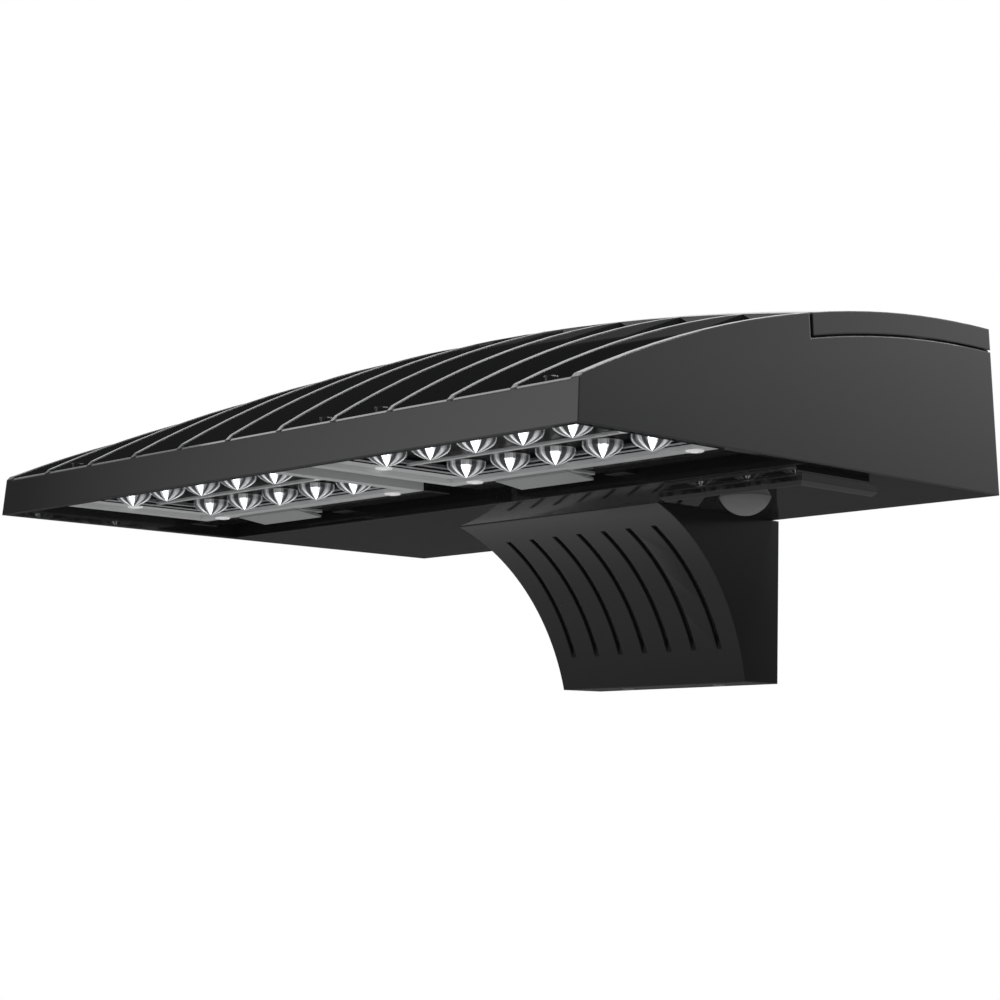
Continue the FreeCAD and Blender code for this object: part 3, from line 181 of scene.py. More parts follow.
def new_piece(name, shape, material, body, crease=35):
    """Turn a finished bmesh into a smooth piece with its corners kept sharp, that moves with a body."""
    bmesh.ops.recalc_face_normals(shape, faces=shape.faces)
    for face in shape.faces:
        face.smooth = True
    for edge in shape.edges:
        if len(edge.link_faces) == 2 and edge.calc_face_angle(0.0) > math.radians(crease):
            edge.smooth = False
    mesh = bpy.data.meshes.new(name)
    shape.to_mesh(mesh)
    shape.free()
    mesh.materials.append(material)
    piece = bpy.data.objects.new(name, mesh)
    bpy.context.scene.collection.objects.link(piece)
    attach(piece, body)
    return piece


def add_turned(shape, centre, rings, sides=40, hexagons=()):
    """Turn a profile of (radius, height) rings about Z and cap its ends; those in hexagons are six-sided."""
    map_layer = shape.loops.layers.uv.verify()
    loops = []
    for index, (radius, height) in enumerate(rings):
        loop = []
        for side in range(sides):
            angle = 2 * math.pi * side / sides
            reach = radius
            if index in hexagons:
                reach = radius * math.cos(math.pi / 6) / math.cos(angle % (math.pi / 3) - math.pi / 6)
            place = centre + Vector((math.cos(angle) * reach, math.sin(angle) * reach, height)) * MM
            loop.append(shape.verts.new(place))
        loops.append(loop)
    for index, (low, high) in enumerate(zip(loops, loops[1:])):
        for side in range(sides):
            after = (side + 1) % sides
            wall = shape.faces.new((low[side], low[after], high[after], high[side]))
            for corner, (turn, level) in zip(wall.loops, ((0, 0), (1, 0), (1, 1), (0, 1))):
                corner[map_layer].uv = ((side + turn) / sides, (index + level) / len(rings))
    shape.faces.new(loops[0])
    shape.faces.new(loops[-1])


def add_socket_screw(shape, centre, head, height, shank, length, way):
    """A pan-headed screw with a hexagon socket, whose head looks UP or DOWN."""
    rings = [(shank, -length), (shank, 0)]
    for across, along in HEAD_RINGS:
        rings.append((head * across, height * along))
    add_turned(shape, centre, [(radius, level * way) for radius, level in rings], hexagons=SOCKET_RINGS)


hood_screws = bmesh.new()
for sign in (-1, 1):
    place = spot(sign * HOOD_SCREW_X, HOOD_SCREW_Y, HOOD_SCREW_SEAT)
    add_socket_screw(hood_screws, place, *HOOD_SCREW, UP)
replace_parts(new_piece("hood_socket_screws", hood_screws, zinc, "hood"), "cover_screws")

# LED modules: on each side a foam seal, a circuit board with ten LEDs and a rubber block for the leads.
# A stepped frame, cast and painted silver, clamps the stack to the heat-sink plate. Its opening has a rubber
# liner, two beads and a bar across, and a folded cover with a light flange hides where the leads leave.
# The cover's grey is the silver darkened as painted shade.
MODULE_OFFSET = 110
OPENING_SIDE = 80
OPENING_FRONT = -302.5
OPENING_REAR = -212.5
LINER_DEEP = 0.5
LINER_LEVELS = (8.6, 12.1)
BEAD_DEEP = 1.4
BEAD_LEVELS = ((11.2, 11.9), (9.2, 9.9))
RIB_MIDDLE = -253.6
RIB_HALF = 1.6
RIB_LOW = 10.3
RIB_HIGH = 11.7
FLANGE_LEFT = -63.3
FLANGE_RIGHT = -9.5
FLANGE_FRONT = -202.6
FLANGE_REAR = -185
FLANGE_LOW = 5.5
FLANGE_HIGH = 6.3
foam = finish_of("grey_foam", (0.05, 0.05, 0.055, 1), (0.10, 0.10, 0.105, 1), (0.8, 0.95), specular=0.2,
                 grain=1500.0)
silver = finish_of("silver_paint", (0.66, 0.665, 0.67, 1), (0.75, 0.755, 0.76, 1), (0.3, 0.4), edge=0.0005)
# A darker copy of the silver for the wire covers: painted shade on their sloped faces.
silver_painted_shade = finish_of("silver_painted_shade", (0.33, 0.335, 0.34, 1), (0.39, 0.395, 0.40, 1), (0.3, 0.4),
                        edge=0.0003)
mask = finish_of("board_mask", (0.020, 0.020, 0.021, 1), (0.030, 0.030, 0.031, 1), (0.15, 0.25))
phosphor = finish_of("led_phosphor", (0.80, 0.66, 0.25, 1), (0.88, 0.76, 0.34, 1), (0.3, 0.4))
dress(foam, "module_gasket_left", "module_gasket_right")
dress(mask, "led_board_left", "led_board_right")
dress(phosphor, "led_chips_left", "led_chips_right")
dress(silver, "lens_frame_left", "lens_frame_right")
dress(silver_painted_shade, "wire_cover_left", "wire_cover_right")
dress(rubber, "wire_grommet_left", "wire_grommet_right")


def add_block(shape, low, high):
    """A block between two places of the drawing."""
    corners = [shape.verts.new(spot(x, y, z)) for z in (low[2], high[2])
               for x, y in ((low[0], low[1]), (high[0], low[1]), (high[0], high[1]), (low[0], high[1]))]
    for face in ((0, 1, 2, 3), (4, 5, 6, 7), (0, 1, 5, 4), (1, 2, 6, 5), (2, 3, 7, 6), (3, 0, 4, 7)):
        shape.faces.new([corners[index] for index in face])


def add_opening_band(shape, middle, deep, low, high):
    """Four strips round the inside of a module's opening, each standing deep millimetres off its wall."""
    left = middle - OPENING_SIDE
    right = middle + OPENING_SIDE
    add_block(shape, (left, OPENING_FRONT, low), (right, OPENING_FRONT + deep, high))
    add_block(shape, (left, OPENING_REAR - deep, low), (right, OPENING_REAR, high))
    add_block(shape, (left, OPENING_FRONT + deep, low), (left + deep, OPENING_REAR - deep, high))
    add_block(shape, (right - deep, OPENING_FRONT + deep, low), (right, OPENING_REAR - deep, high))


liner = bmesh.new()
beads = bmesh.new()
ribs = bmesh.new()
flanges = bmesh.new()
for sign in (-1, 1):
    middle = sign * MODULE_OFFSET
    add_opening_band(liner, middle, LINER_DEEP, *LINER_LEVELS)
    for levels in BEAD_LEVELS:
        add_opening_band(beads, middle, BEAD_DEEP, *levels)
    add_block(ribs, (middle - OPENING_SIDE, RIB_MIDDLE - RIB_HALF, RIB_LOW),
              (middle + OPENING_SIDE, RIB_MIDDLE + RIB_HALF, RIB_HIGH))
    add_block(flanges, (middle + FLANGE_LEFT, FLANGE_FRONT, FLANGE_LOW),
              (middle + FLANGE_RIGHT, FLANGE_REAR, FLANGE_HIGH))
new_piece("lens_liner", liner, rubber, "fixture")
new_piece("frame_beads", beads, silver, "fixture")
new_piece("frame_ribs", ribs, silver, "fixture")
new_piece("wire_cover_flanges", flanges, silver, "fixture")

# Lens plates: clear moulded plastic, a flat sheet on each frame's lip with ten hollow bowls hanging from it.
# In each bowl a white cone that gives off light of its own is a painted highlight, with a dark web on both
# sides as painted dark lines, on a matt black disc. The bowls' bright streaks and faint light of their own
# are painted highlights, and their dark stripes are painted dark lines.
LENS_PITCH = 32.5
LENS_ROWS = (-282, -225.3)
LENS_COLUMNS = (-2, -1, 0, 1, 2)
LENS_FACE = 12.2
SHEET_LOW = 13.9
SHEET_HIGH = 14.4
SHEET_LAP = 2.2
BOWL_RADIUS = 10.3
BOWL_HEIGHT = 7
BOWL_WALL = 0.8
BOWL_COLLAR = 0.1
BOWL_FULLNESS = 0.85
BOWL_STEPS = 14
BOWL_SIDES = 48
INNER_RIM = (9.3, 1.2)
RIM_GAP = 0.05
TIP_RADIUS = 0.05
STRIPE_PLACE = 0.22
STRIPE_HALF = 0.10
# Strength of the light the white cones give off, a painted highlight
CORE_PAINTED_GLOW = 8.0
CORE_SIDES = 24
DIAGONAL = math.sqrt(0.5)
WEB_HALF = 0.3
# Profiles as (radius, level) pairs and a web's outline as (reach, level) pairs, about the lens face
CORE_PROFILE = ((0.2, -5.9), (0.6, -5.6), (1.9, -3.0), (3.3, 0.2))
DISC_PROFILE = ((8.9, 1.0), (8.9, 0.2), (8.7, 0.0))
WEB_OUTLINE = ((3.0, 0), (5.8, 0), (3.8, -3.0), (1.3, -5.7), (0.4, -5.5), (1.7, -3.0))


def make_painted_lens_highlights():
    """Painted highlight streaks that brighten from a lens's rim to its tip, with two painted dark lines in
    each quarter turn.
    """
    tree, given, result = new_group("painted_lens_highlights", {"Count": 30.0}, {"Tone": "NodeSocketFloat"})
    place = add_node(tree, "ShaderNodeTexCoord")
    stretch = add_node(tree, "ShaderNodeVectorMath", operation="MULTIPLY")
    pull = add_node(tree, "ShaderNodeCombineXYZ", {"Y": 1.6, "Z": 1.0})
    streak = add_node(tree, "ShaderNodeTexNoise", {"Scale": 1.0, "Detail": 3.0, "Roughness": 0.6})
    sharpen = add_node(tree, "ShaderNodeMapRange", {"From Min": 0.30, "From Max": 0.58})
    along = add_node(tree, "ShaderNodeSeparateXYZ")
    growth = add_node(tree, "ShaderNodeMapRange", {"From Min": 0.05, "From Max": 0.4, "To Min": 0.25})
    tone = add_node(tree, "ShaderNodeMath", operation="MULTIPLY")
    quarters = add_node(tree, "ShaderNodeMath", {1: 4.0}, operation="MULTIPLY")
    fold = add_node(tree, "ShaderNodeMath", {1: 0.5}, operation="PINGPONG")
    stripe = add_node(tree, "ShaderNodeMath", {1: STRIPE_PLACE, 2: STRIPE_HALF}, operation="COMPARE")
    clear = add_node(tree, "ShaderNodeMath", {0: 1.0}, operation="SUBTRACT")
    parted = add_node(tree, "ShaderNodeMath", operation="MULTIPLY")
    tree.links.new(place.outputs["UV"], stretch.inputs[0])
    tree.links.new(given.outputs["Count"], pull.inputs["X"])
    tree.links.new(pull.outputs["Vector"], stretch.inputs[1])
    tree.links.new(stretch.outputs["Vector"], streak.inputs["Vector"])
    tree.links.new(streak.outputs["Fac"], sharpen.inputs["Value"])
    tree.links.new(place.outputs["UV"], along.inputs["Vector"])
    tree.links.new(along.outputs["Y"], growth.inputs["Value"])
    tree.links.new(sharpen.outputs["Result"], tone.inputs[0])
    tree.links.new(growth.outputs["Result"], tone.inputs[1])
    tree.links.new(along.outputs["X"], quarters.inputs[0])
    tree.links.new(quarters.outputs["Value"], fold.inputs[0])
    tree.links.new(fold.outputs["Value"], stripe.inputs[0])
    tree.links.new(stripe.outputs["Value"], clear.inputs[1])
    tree.links.new(tone.outputs["Value"], parted.inputs[0])
    tree.links.new(clear.outputs["Value"], parted.inputs[1])
    tree.links.new(parted.outputs["Value"], result.inputs["Tone"])
    return tree


painted_lens_highlights = make_painted_lens_highlights()


def clear_plastic(name, dull, bright, through, roughness, painted_glow, bend=1.49):
    """Clear moulding with haze that is dull or bright in painted highlight streaks, which give off light if
    asked; bend is its index of refraction.
    """
    material = bpy.data.materials.new(name)
    material.use_nodes = True
    tree = material.node_tree
    shader = tree.nodes["Principled BSDF"]
    shader.inputs["IOR"].default_value = bend
    shader.inputs["Transmission Weight"].default_value = through
    shader.inputs["Emission Strength"].default_value = painted_glow
    streaks = add_node(tree, "ShaderNodeGroup", node_tree=painted_lens_highlights)
    colour = add_node(tree, "ShaderNodeMix", data_type="RGBA")
    colour.inputs["A"].default_value = dull
    colour.inputs["B"].default_value = bright
    spread = add_node(tree, "ShaderNodeMapRange", {"To Min": roughness[0], "To Max": roughness[1]})
    tree.links.new(streaks.outputs["Tone"], colour.inputs["Factor"])
    tree.links.new(streaks.outputs["Tone"], spread.inputs["Value"])
    tree.links.new(colour.outputs["Result"], shader.inputs["Base Color"])
    if painted_glow > 0:
        tree.links.new(colour.outputs["Result"], shader.inputs["Emission Color"])
    tree.links.new(spread.outputs["Result"], shader.inputs["Roughness"])
    return material


# The bowls' bright streaks give off a little light: a painted highlight.
bowl_clear_painted_highlight = clear_plastic("lens_clear", (0.04, 0.042, 0.045, 1), (0.95, 0.96, 0.97, 1), through=0.68,
                           roughness=(0.02, 0.06), painted_glow=0.45)
sheet_clear = clear_plastic("sheet_clear", (0.80, 0.81, 0.82, 1), (0.90, 0.91, 0.92, 1), through=1.0,
                            roughness=(0.35, 0.45), painted_glow=0.0, bend=1.08)
matt_black = finish_of("matt_black", grey(0.006), grey(0.010), (0.85, 0.95), specular=0.05)
# The white cones give off strong light of their own: a painted highlight, since the LEDs are not lit.
core_painted_highlight = bpy.data.materials.new("lens_core_white")
core_painted_highlight.use_nodes = True
core_shader = core_painted_highlight.node_tree.nodes["Principled BSDF"]
core_shader.inputs["Emission Strength"].default_value = CORE_PAINTED_GLOW
core_skin = add_node(core_painted_highlight.node_tree, "ShaderNodeGroup", node_tree=coat_grain)
core_tone = add_node(core_painted_highlight.node_tree, "ShaderNodeMix", data_type="RGBA")
core_tone.inputs["A"].default_value = (0.90, 0.91, 0.93, 1)
core_tone.inputs["B"].default_value = grey(1)
core_painted_highlight.node_tree.links.new(core_skin.outputs["Tone"], core_tone.inputs["Factor"])
core_painted_highlight.node_tree.links.new(core_tone.outputs["Result"], core_shader.inputs["Base Color"])
core_painted_highlight.node_tree.links.new(core_tone.outputs["Result"], core_shader.inputs["Emission Color"])

outer_bowl = [(BOWL_RADIUS, SHEET_LOW - LENS_FACE - RIM_GAP)]
inner_bowl = [INNER_RIM]
for step in range(BOWL_STEPS + 1):
    share = step / BOWL_STEPS
    bulge = (1 - share ** 2) ** BOWL_FULLNESS
    outer_depth = BOWL_COLLAR + (BOWL_HEIGHT - BOWL_COLLAR) * share
    inner_depth = (BOWL_HEIGHT - BOWL_WALL) * share
    outer_bowl.append((max(BOWL_RADIUS * bulge, TIP_RADIUS), -outer_depth))
    inner_bowl.append((max((BOWL_RADIUS - BOWL_WALL) * bulge, TIP_RADIUS), -inner_depth))
bowl_profile = outer_bowl + inner_bowl[::-1]


def add_painted_dark_web(shape, centre, sign):
    """A thin dark blade beside a lens's cone, along the module's corner-to-corner line, that paints a dark
    line beside the highlight.
    """
    along = Vector((DIAGONAL, DIAGONAL, 0)) * sign
    across = Vector((DIAGONAL, -DIAGONAL, 0)) * WEB_HALF
    near = []
    far = []
    for reach, level in WEB_OUTLINE:
        middle = along * reach + Vector((0, 0, level))
        near.append(shape.verts.new(centre + (middle + across) * MM))
        far.append(shape.verts.new(centre + (middle - across) * MM))
    shape.faces.new(near)
    shape.faces.new(far)
    for index in range(len(WEB_OUTLINE)):
        after = (index + 1) % len(WEB_OUTLINE)
        shape.faces.new((near[index], near[after], far[after], far[index]))


for side, sign in (("left", -1), ("right", 1)):
    middle = sign * MODULE_OFFSET
    sheet = bmesh.new()
    add_block(sheet, (middle - OPENING_SIDE - SHEET_LAP, OPENING_FRONT - SHEET_LAP, SHEET_LOW),
              (middle + OPENING_SIDE + SHEET_LAP, OPENING_REAR + SHEET_LAP, SHEET_HIGH))
    bowls = bmesh.new()
    cores = bmesh.new()
    discs = bmesh.new()
    for row in LENS_ROWS:
        for column in LENS_COLUMNS:
            centre = spot(middle + column * LENS_PITCH, row, LENS_FACE)
            add_turned(bowls, centre, bowl_profile, sides=BOWL_SIDES)
            add_turned(cores, centre, CORE_PROFILE, sides=CORE_SIDES)
            add_turned(discs, centre, DISC_PROFILE)
            add_painted_dark_web(discs, centre, -1)
            add_painted_dark_web(discs, centre, 1)
    new_piece(f"lens_sheet_{side}", sheet, sheet_clear, "fixture")
    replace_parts(new_piece(f"lens_bowls_{side}", bowls, bowl_clear_painted_highlight, "fixture"), f"lens_plate_{side}")
    new_piece(f"lens_highlight_cores_{side}", cores, core_painted_highlight, "fixture")
    new_piece(f"lens_discs_{side}", discs, matt_black, "fixture")

# Module screws: six flanged socket screws of bright zinc-plated steel in each frame, driven up to the plate.
# Those at the middle of the short sides stand on the frame's inner step.
FRAME_LEVEL = 6.3
LIP_LEVEL = 8.5
PLATE_LEVEL = 16
MODULE_HEAD = 4.6
MODULE_HEAD_HEIGHT = 0.8
MODULE_SHANK = 1.75
# Each pair of screws: distance from the module's middle, place from the housing's back and level of its seat
SCREW_PAIRS = ((77, -207.2, FRAME_LEVEL), (85.2, -266, LIP_LEVEL), (77, -315, FRAME_LEVEL))
# The zinc gives off a little light of its own: a painted highlight on the screw heads.
bright_zinc_painted_glint = finish_of("bright_zinc_painted_glint", (0.92, 0.92, 0.91, 1), (0.98, 0.98, 0.97, 1), (0.15, 0.25),
                        edge=0.0002, painted_glow=0.25)
module_screws = bmesh.new()
for sign in (-1, 1):
    for across, row, seat in SCREW_PAIRS:
        for edge in (-1, 1):
            place = spot(sign * MODULE_OFFSET + edge * across, row, seat)
            add_socket_screw(module_screws, place, MODULE_HEAD, MODULE_HEAD_HEIGHT, MODULE_SHANK,
                             PLATE_LEVEL - seat, DOWN)
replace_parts(new_piece("module_socket_screws", module_screws, bright_zinc_painted_glint, "fixture"), "module_screws")

# Sensor: a flat black moulded box screwed to the underside, with a cloudy grey dome that turns in its cover.
# Behind the dome sit a small circuit board and the round can of the detector; four screws come from above.
moulding = finish_of("black_moulding", (0.016, 0.016, 0.0165, 1), (0.022, 0.022, 0.0225, 1), (0.008, 0.02),
                     edge=0.0006, bump=0.0000005)
cloudy = finish_of("cloudy_dome", grey(0.12), grey(0.24), (0.4, 0.55), grain=1400.0)
dress(moulding, "sensor_base", "sensor_cover")
dress(cloudy, "sensor_lens")
dress(mask, "sensor_board")
dress(zinc, "sensor_eye", "sensor_screws")

# Driver compartment: a long enamelled driver, a potted surge protector, a relay pack and a terminal block.
# Each stands on the floor on two feet with a screw; a green screw beside the terminals takes the earth wire.
DRIVER_X = -30
DRIVER_Y = -120
DRIVER_TOP = 41
LID_LENGTH_HALF = 112
LID_WIDTH_HALF = 26
LID_TOP = DRIVER_TOP + 0.9
LID_BEVEL = 0.6
LID_SCREW_X = 106
LID_SCREW_Y = 20
LID_SCREW = (2.6, 1.4, 1.2, 0.7)
PLATE_LENGTH_HALF = 60
PLATE_WIDTH_HALF = 19
PLATE_TOP = DRIVER_TOP + 1.1
BLOCK_X = -120
BLOCK_Y = -55
BLOCK_TOP = 23
POLES = 3
POLE_PITCH = 14
BARRIER_HALF = 0.9
BARRIER_WIDTH_HALF = 10.5
BARRIER_HEIGHT = 4
CLAMP_Y = 5.5
CLAMP_SCREW = (3.2, 1.8, 1.4, 0.5)
enamel = finish_of("driver_enamel", (0.66, 0.66, 0.65, 1), (0.74, 0.74, 0.73, 1), (0.3, 0.4))
paper = finish_of("blank_plate", (0.80, 0.80, 0.78, 1), (0.86, 0.86, 0.84, 1), (0.5, 0.6))
potted = finish_of("potted_case", (0.05, 0.055, 0.065, 1), (0.08, 0.085, 0.095, 1), (0.4, 0.5))
cream = finish_of("cream_moulding", (0.58, 0.56, 0.50, 1), (0.66, 0.64, 0.58, 1), (0.3, 0.4))
earth_green = finish_of("earth_green", (0.02, 0.18, 0.05, 1), (0.03, 0.25, 0.07, 1), (0.3, 0.4))
dress(enamel, "driver")
dress(potted, "surge_protector", "sensor_pack")
dress(cream, "terminal_block")
dress(earth_green, "ground_screw")
dress(zinc, "driver_screws", "surge_protector_screws", "sensor_pack_screws", "terminal_block_screws")
driver_lid = bmesh.new()
add_block(driver_lid, (DRIVER_X - LID_LENGTH_HALF, DRIVER_Y - LID_WIDTH_HALF, DRIVER_TOP),
          (DRIVER_X + LID_LENGTH_HALF, DRIVER_Y + LID_WIDTH_HALF, LID_TOP))
bmesh.ops.bevel(driver_lid, geom=driver_lid.edges[:], offset=LID_BEVEL * MM, segments=2, affect="EDGES")
new_piece("driver_lid", driver_lid, enamel, "fixture")
driver_plate = bmesh.new()
add_block(driver_plate, (DRIVER_X - PLATE_LENGTH_HALF, DRIVER_Y - PLATE_WIDTH_HALF, LID_TOP),
          (DRIVER_X + PLATE_LENGTH_HALF, DRIVER_Y + PLATE_WIDTH_HALF, PLATE_TOP))
new_piece("driver_blank_plate", driver_plate, paper, "fixture")
lid_screws = bmesh.new()
for end in (-1, 1):
    for edge in (-1, 1):
        place = spot(DRIVER_X + end * LID_SCREW_X, DRIVER_Y + edge * LID_SCREW_Y, LID_TOP)
        add_socket_screw(lid_screws, place, *LID_SCREW, UP)
new_piece("driver_lid_screws", lid_screws, zinc, "fixture")
barriers = bmesh.new()
clamps = bmesh.new()
for index in range(POLES + 1):
    wall_x = BLOCK_X + (index - POLES / 2) * POLE_PITCH
    add_block(barriers, (wall_x - BARRIER_HALF, BLOCK_Y - BARRIER_WIDTH_HALF, BLOCK_TOP),
              (wall_x + BARRIER_HALF, BLOCK_Y + BARRIER_WIDTH_HALF, BLOCK_TOP + BARRIER_HEIGHT))
for index in range(POLES):
    pole_x = BLOCK_X + (index - (POLES - 1) / 2) * POLE_PITCH
    for edge in (-1, 1):
        add_socket_screw(clamps, spot(pole_x, BLOCK_Y + edge * CLAMP_Y, BLOCK_TOP), *CLAMP_SCREW, UP)
new_piece("terminal_barriers", barriers, cream, "fixture")
new_piece("terminal_clamps", clamps, zinc, "fixture")

# Wires: sleeved copper between driver, modules, sensor, relay pack and terminals, bent round the boxes.
# Red to the modules, white to the sensor, black for the supply, which comes up through the bracket.
WIRE_RADIUS = 2
SUPPLY_RADIUS = 4
WIRE_SIDES = 14
BEND_STEPS = 7
BEND_RATIO = 4
# A direction that no wire runs in, to start the sweep of a sleeve
SLEEVE_START = (0.31, 0.52, 0.79)
red_sleeve = finish_of("red_sleeve", (0.32, 0.015, 0.015, 1), (0.4, 0.02, 0.02, 1), (0.35, 0.45))
white_sleeve = finish_of("white_sleeve", (0.62, 0.62, 0.60, 1), (0.72, 0.72, 0.70, 1), (0.35, 0.45))
black_sleeve = finish_of("black_sleeve", grey(0.015), grey(0.025), (0.35, 0.45))


def bent_route(places, bend):
    """The places joined by straight runs, each corner rounded to the bend or as wide as its runs allow."""
    points = [spot(*place) for place in places]
    route = [points[0]]
    for before, corner, after in zip(points, points[1:], points[2:]):
        room = min((corner - before).length, (after - corner).length) / 2
        start = corner + (before - corner).normalized() * min(bend * MM, room)
        end = corner + (after - corner).normalized() * min(bend * MM, room)
        for step in range(BEND_STEPS + 1):
            share = step / BEND_STEPS
            route.append(start.lerp(corner, share).lerp(corner.lerp(end, share), share))
    return route + [points[-1]]


def add_wire(shape, route, radius):
    """A round sleeve swept along a route."""
    loops = []
    upright = Vector(SLEEVE_START).normalized()
    for index, point in enumerate(route):
        ahead = route[min(index + 1, len(route) - 1)] - route[max(index - 1, 0)]
        ahead.normalize()
        upright = (upright - ahead * upright.dot(ahead)).normalized()
        aside = ahead.cross(upright)
        loop = []
        for side in range(WIRE_SIDES):
            angle = 2 * math.pi * side / WIRE_SIDES
            out = upright * math.cos(angle) + aside * math.sin(angle)
            loop.append(shape.verts.new(point + out * radius * MM))
        loops.append(loop)
    for near, far in zip(loops, loops[1:]):
        for side in range(WIRE_SIDES):
            after = (side + 1) % WIRE_SIDES
            shape.faces.new((near[side], near[after], far[after], far[side]))
    shape.faces.new(loops[0])
    shape.faces.new(loops[-1])


wire_runs = (
    ("lead_left", red_sleeve, WIRE_RADIUS,
     ((-112.5, -182, 11), (-112.5, -153, 11), (-165, -153, 11), (-165, -153, 24), (-165, -120, 24),
      (-145, -120, 24))),
    ("lead_right", red_sleeve, WIRE_RADIUS,
     ((107.5, -182, 11), (107.5, -153, 11), (125, -153, 11), (125, -153, 24), (125, -120, 24),
      (85, -120, 24))),
    ("sensor_lead", white_sleeve, WIRE_RADIUS,
     ((157.5, -132, -2.1), (157.5, -132, 19), (157.5, -89, 19))),
    ("sensor_pack_lead", white_sleeve, WIRE_RADIUS,
     ((149, -82, 19), (110, -82, 19), (110, -110, 19), (85, -110, 19))),
    ("driver_lead", black_sleeve, WIRE_RADIUS,
     ((-120, -91, 19), (-120, -66, 19))),
    ("supply_lead", black_sleeve, SUPPLY_RADIUS,
     ((-98, -50, 19), (0, -50, 19), (0, -50, -20), (0, -12, -20))),
)
for name, sleeve, radius, places in wire_runs:
    run = bmesh.new()
    add_wire(run, bent_route(places, BEND_RATIO * radius), radius)
    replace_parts(new_piece(f"{name}_sleeve", run, sleeve, "fixture"), name)

# Wall bracket: a hollow flared casting in a slightly duller black, with seven grooves down its curved front.
# Four bolts with nuts hold it to the housing on a rubber sheet, and the supply comes up through a bushing.
bracket_coat = finish_of("bracket_powder_coat", COAT_BLACK, COAT_SOFT_BLACK, (0.14, 0.18), specular=0.4,
                         edge=0.0011, bump=0.000004)
dress(bracket_coat, "wall_bracket")
dress(rubber, "bracket_gasket", "wire_bushing")
dress(zinc, "bracket_bolts", "bracket_nuts")

# Wall plate: punched zinc-plated sheet with two welded strips that the bracket hooks on.
# A foam ring seals the bracket to the wall, and two socket screws from below lock it on the lower strip.
LOCK_X = 36
LOCK_Y = -5.8
LOCK_SEAT = -93.4
LOCK_SCREW = (4.5, 3, 2.5, 6.3)
dress(zinc, "wall_plate", "plate_hooks")
dress(foam, "wall_seal")
lock_screws = bmesh.new()
for sign in (-1, 1):
    add_socket_screw(lock_screws, spot(sign * LOCK_X, LOCK_Y, LOCK_SEAT), *LOCK_SCREW, DOWN)
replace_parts(new_piece("lock_socket_screws", lock_screws, zinc, "fixture"), "lock_screws")

# Studio: a pale floor far below and a white surround. Mirrors see it bright above and behind, brightest at
# the front left, dimmer to the right and dark below. A large soft box over the right side lights the fins,
# and two small ones at the left and behind draw light lines along the edges.
FLOOR_LEVEL = -1.0
FLOOR_HALF = 4
FLOOR_SIGNS = ((-1, -1), (1, -1), (1, 1), (-1, 1))
EVEN_LIGHT = 0.5
BACKGROUND_LIGHT = 1.0
floor_mesh = bpy.data.meshes.new("studio_floor")
floor_corners = [(x * FLOOR_HALF, y * FLOOR_HALF, FLOOR_LEVEL) for x, y in FLOOR_SIGNS]
floor_mesh.from_pydata(floor_corners, [], [(0, 1, 2, 3)])
floor = bpy.data.objects.new("studio_floor", floor_mesh)
bpy.context.scene.collection.objects.link(floor)
pale_floor = finish_of("pale_floor", grey(0.60), grey(0.64), (0.7, 0.8), specular=0.2, grain=40.0)
floor_mesh.materials.append(pale_floor)

world = bpy.data.worlds.new("studio")
world.use_nodes = True
bpy.context.scene.world = world
surround = world.node_tree
backdrop = surround.nodes["Background"]
backdrop.inputs["Color"].default_value = grey(1)
path = add_node(surround, "ShaderNodeLightPath")
way = add_node(surround, "ShaderNodeTexCoord")
split = add_node(surround, "ShaderNodeSeparateXYZ")
surround.links.new(way.outputs["Generated"], split.inputs["Vector"])


def ramp(axis, start, end, low, high):
    """Light that goes from low to high while one axis of a ray's direction goes from start to end."""
    node = add_node(surround, "ShaderNodeMapRange",
                    {"From Min": start, "From Max": end, "To Min": low, "To Max": high})
    surround.links.new(split.outputs[axis], node.inputs["Value"])
    return node.outputs["Result"]


def combined(operation, first, second):
    """One value made of two by a plain operation."""
    node = add_node(surround, "ShaderNodeMath", operation=operation)
    surround.links.new(first, node.inputs[0])
    surround.links.new(second, node.inputs[1])
    return node.outputs["Value"]


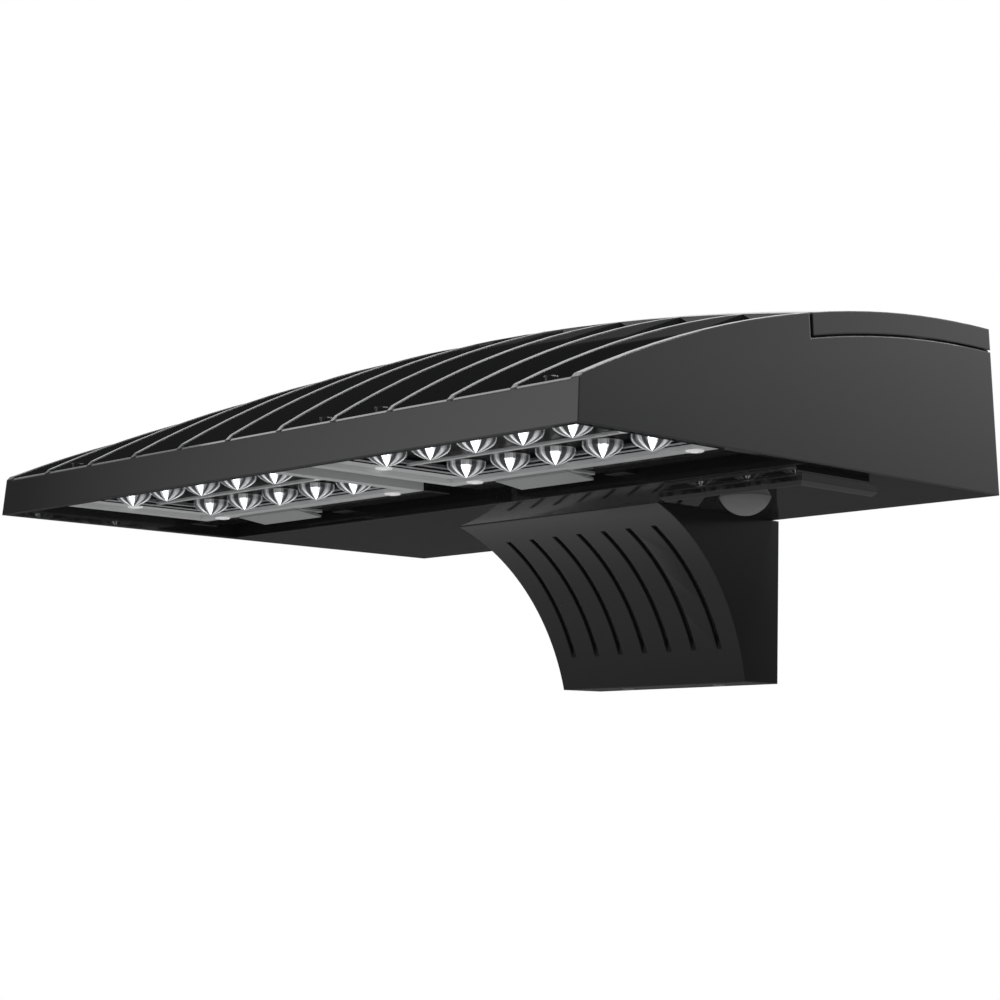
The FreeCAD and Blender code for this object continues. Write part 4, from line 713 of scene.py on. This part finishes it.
above = ramp("Z", 0.045, 0.24, 0.05, 1.0)
behind = ramp("Y", -0.4, 0.5, 0.15, 1.0)
before = ramp("Y", -0.48, -0.72, 0.0, 1.9)
leftward = ramp("X", -0.6, -0.3, 1.0, 0.0)
aside = ramp("X", 0.45, 0.76, 1.0, 0.3)
front = combined("MULTIPLY", before, leftward)
level = combined("MAXIMUM", behind, front)
toned = combined("MULTIPLY", level, aside)
shade = combined("MULTIPLY", above, toned)
mirrored = combined("MAXIMUM", path.outputs["Is Glossy Ray"], path.outputs["Is Transmission Ray"])
seen = add_node(surround, "ShaderNodeMix", {"A": EVEN_LIGHT})
shown = add_node(surround, "ShaderNodeMix", {"B": BACKGROUND_LIGHT})
surround.links.new(mirrored, seen.inputs["Factor"])
surround.links.new(shade, seen.inputs["B"])
surround.links.new(path.outputs["Is Camera Ray"], shown.inputs["Factor"])
surround.links.new(seen.outputs["Result"], shown.inputs["A"])
surround.links.new(shown.outputs["Result"], backdrop.inputs["Strength"])


def softbox(name, place, aim, width, height, watts):
    """A rectangular area lamp that looks at a point."""
    lamp = bpy.data.lights.new(name, "AREA")
    lamp.shape = "RECTANGLE"
    lamp.size = width
    lamp.size_y = height
    lamp.energy = watts
    stand = bpy.data.objects.new(name, lamp)
    stand.location = place
    stand.rotation_euler = (Vector(aim) - Vector(place)).to_track_quat("-Z", "Y").to_euler()
    bpy.context.scene.collection.objects.link(stand)


PART_MIDDLE = (0.0, -0.2, 0.08)
RIGHT_SIDE = (0.2, -0.2, 0.1)
softbox("key_softbox", place=(0.55, 0.0, 1.1), aim=PART_MIDDLE, width=0.8, height=0.8, watts=14.0)
softbox("top_softbox", place=(-0.75, 0.0, 0.95), aim=PART_MIDDLE, width=0.5, height=0.5, watts=1.0)
softbox("rear_softbox", place=(0.02, 0.65, 0.9), aim=RIGHT_SIDE, width=0.5, height=0.4, watts=2.2)

# Camera: a long lens at the front right and a little below, where the photograph was taken from.
# Its place, direction and focal length were solved from the part's corners and arcs in the photograph.
SENSOR_WIDTH = 36
FOCAL_LENGTH = 78.3
CAMERA_PLACE = (0.86313, -1.02636, -0.11101)
CAMERA_WAY = (-0.69999, 0.70170, 0.13278)
lens_data = bpy.data.cameras.new("photo_camera")
lens_data.sensor_width = SENSOR_WIDTH
lens_data.lens = FOCAL_LENGTH
camera = bpy.data.objects.new("photo_camera", lens_data)
camera.location = CAMERA_PLACE
camera.rotation_euler = Vector(CAMERA_WAY).to_track_quat("-Z", "Y").to_euler()
bpy.context.scene.collection.objects.link(camera)
bpy.context.scene.camera = camera
bpy.context.scene.view_settings.view_transform = "Standard"
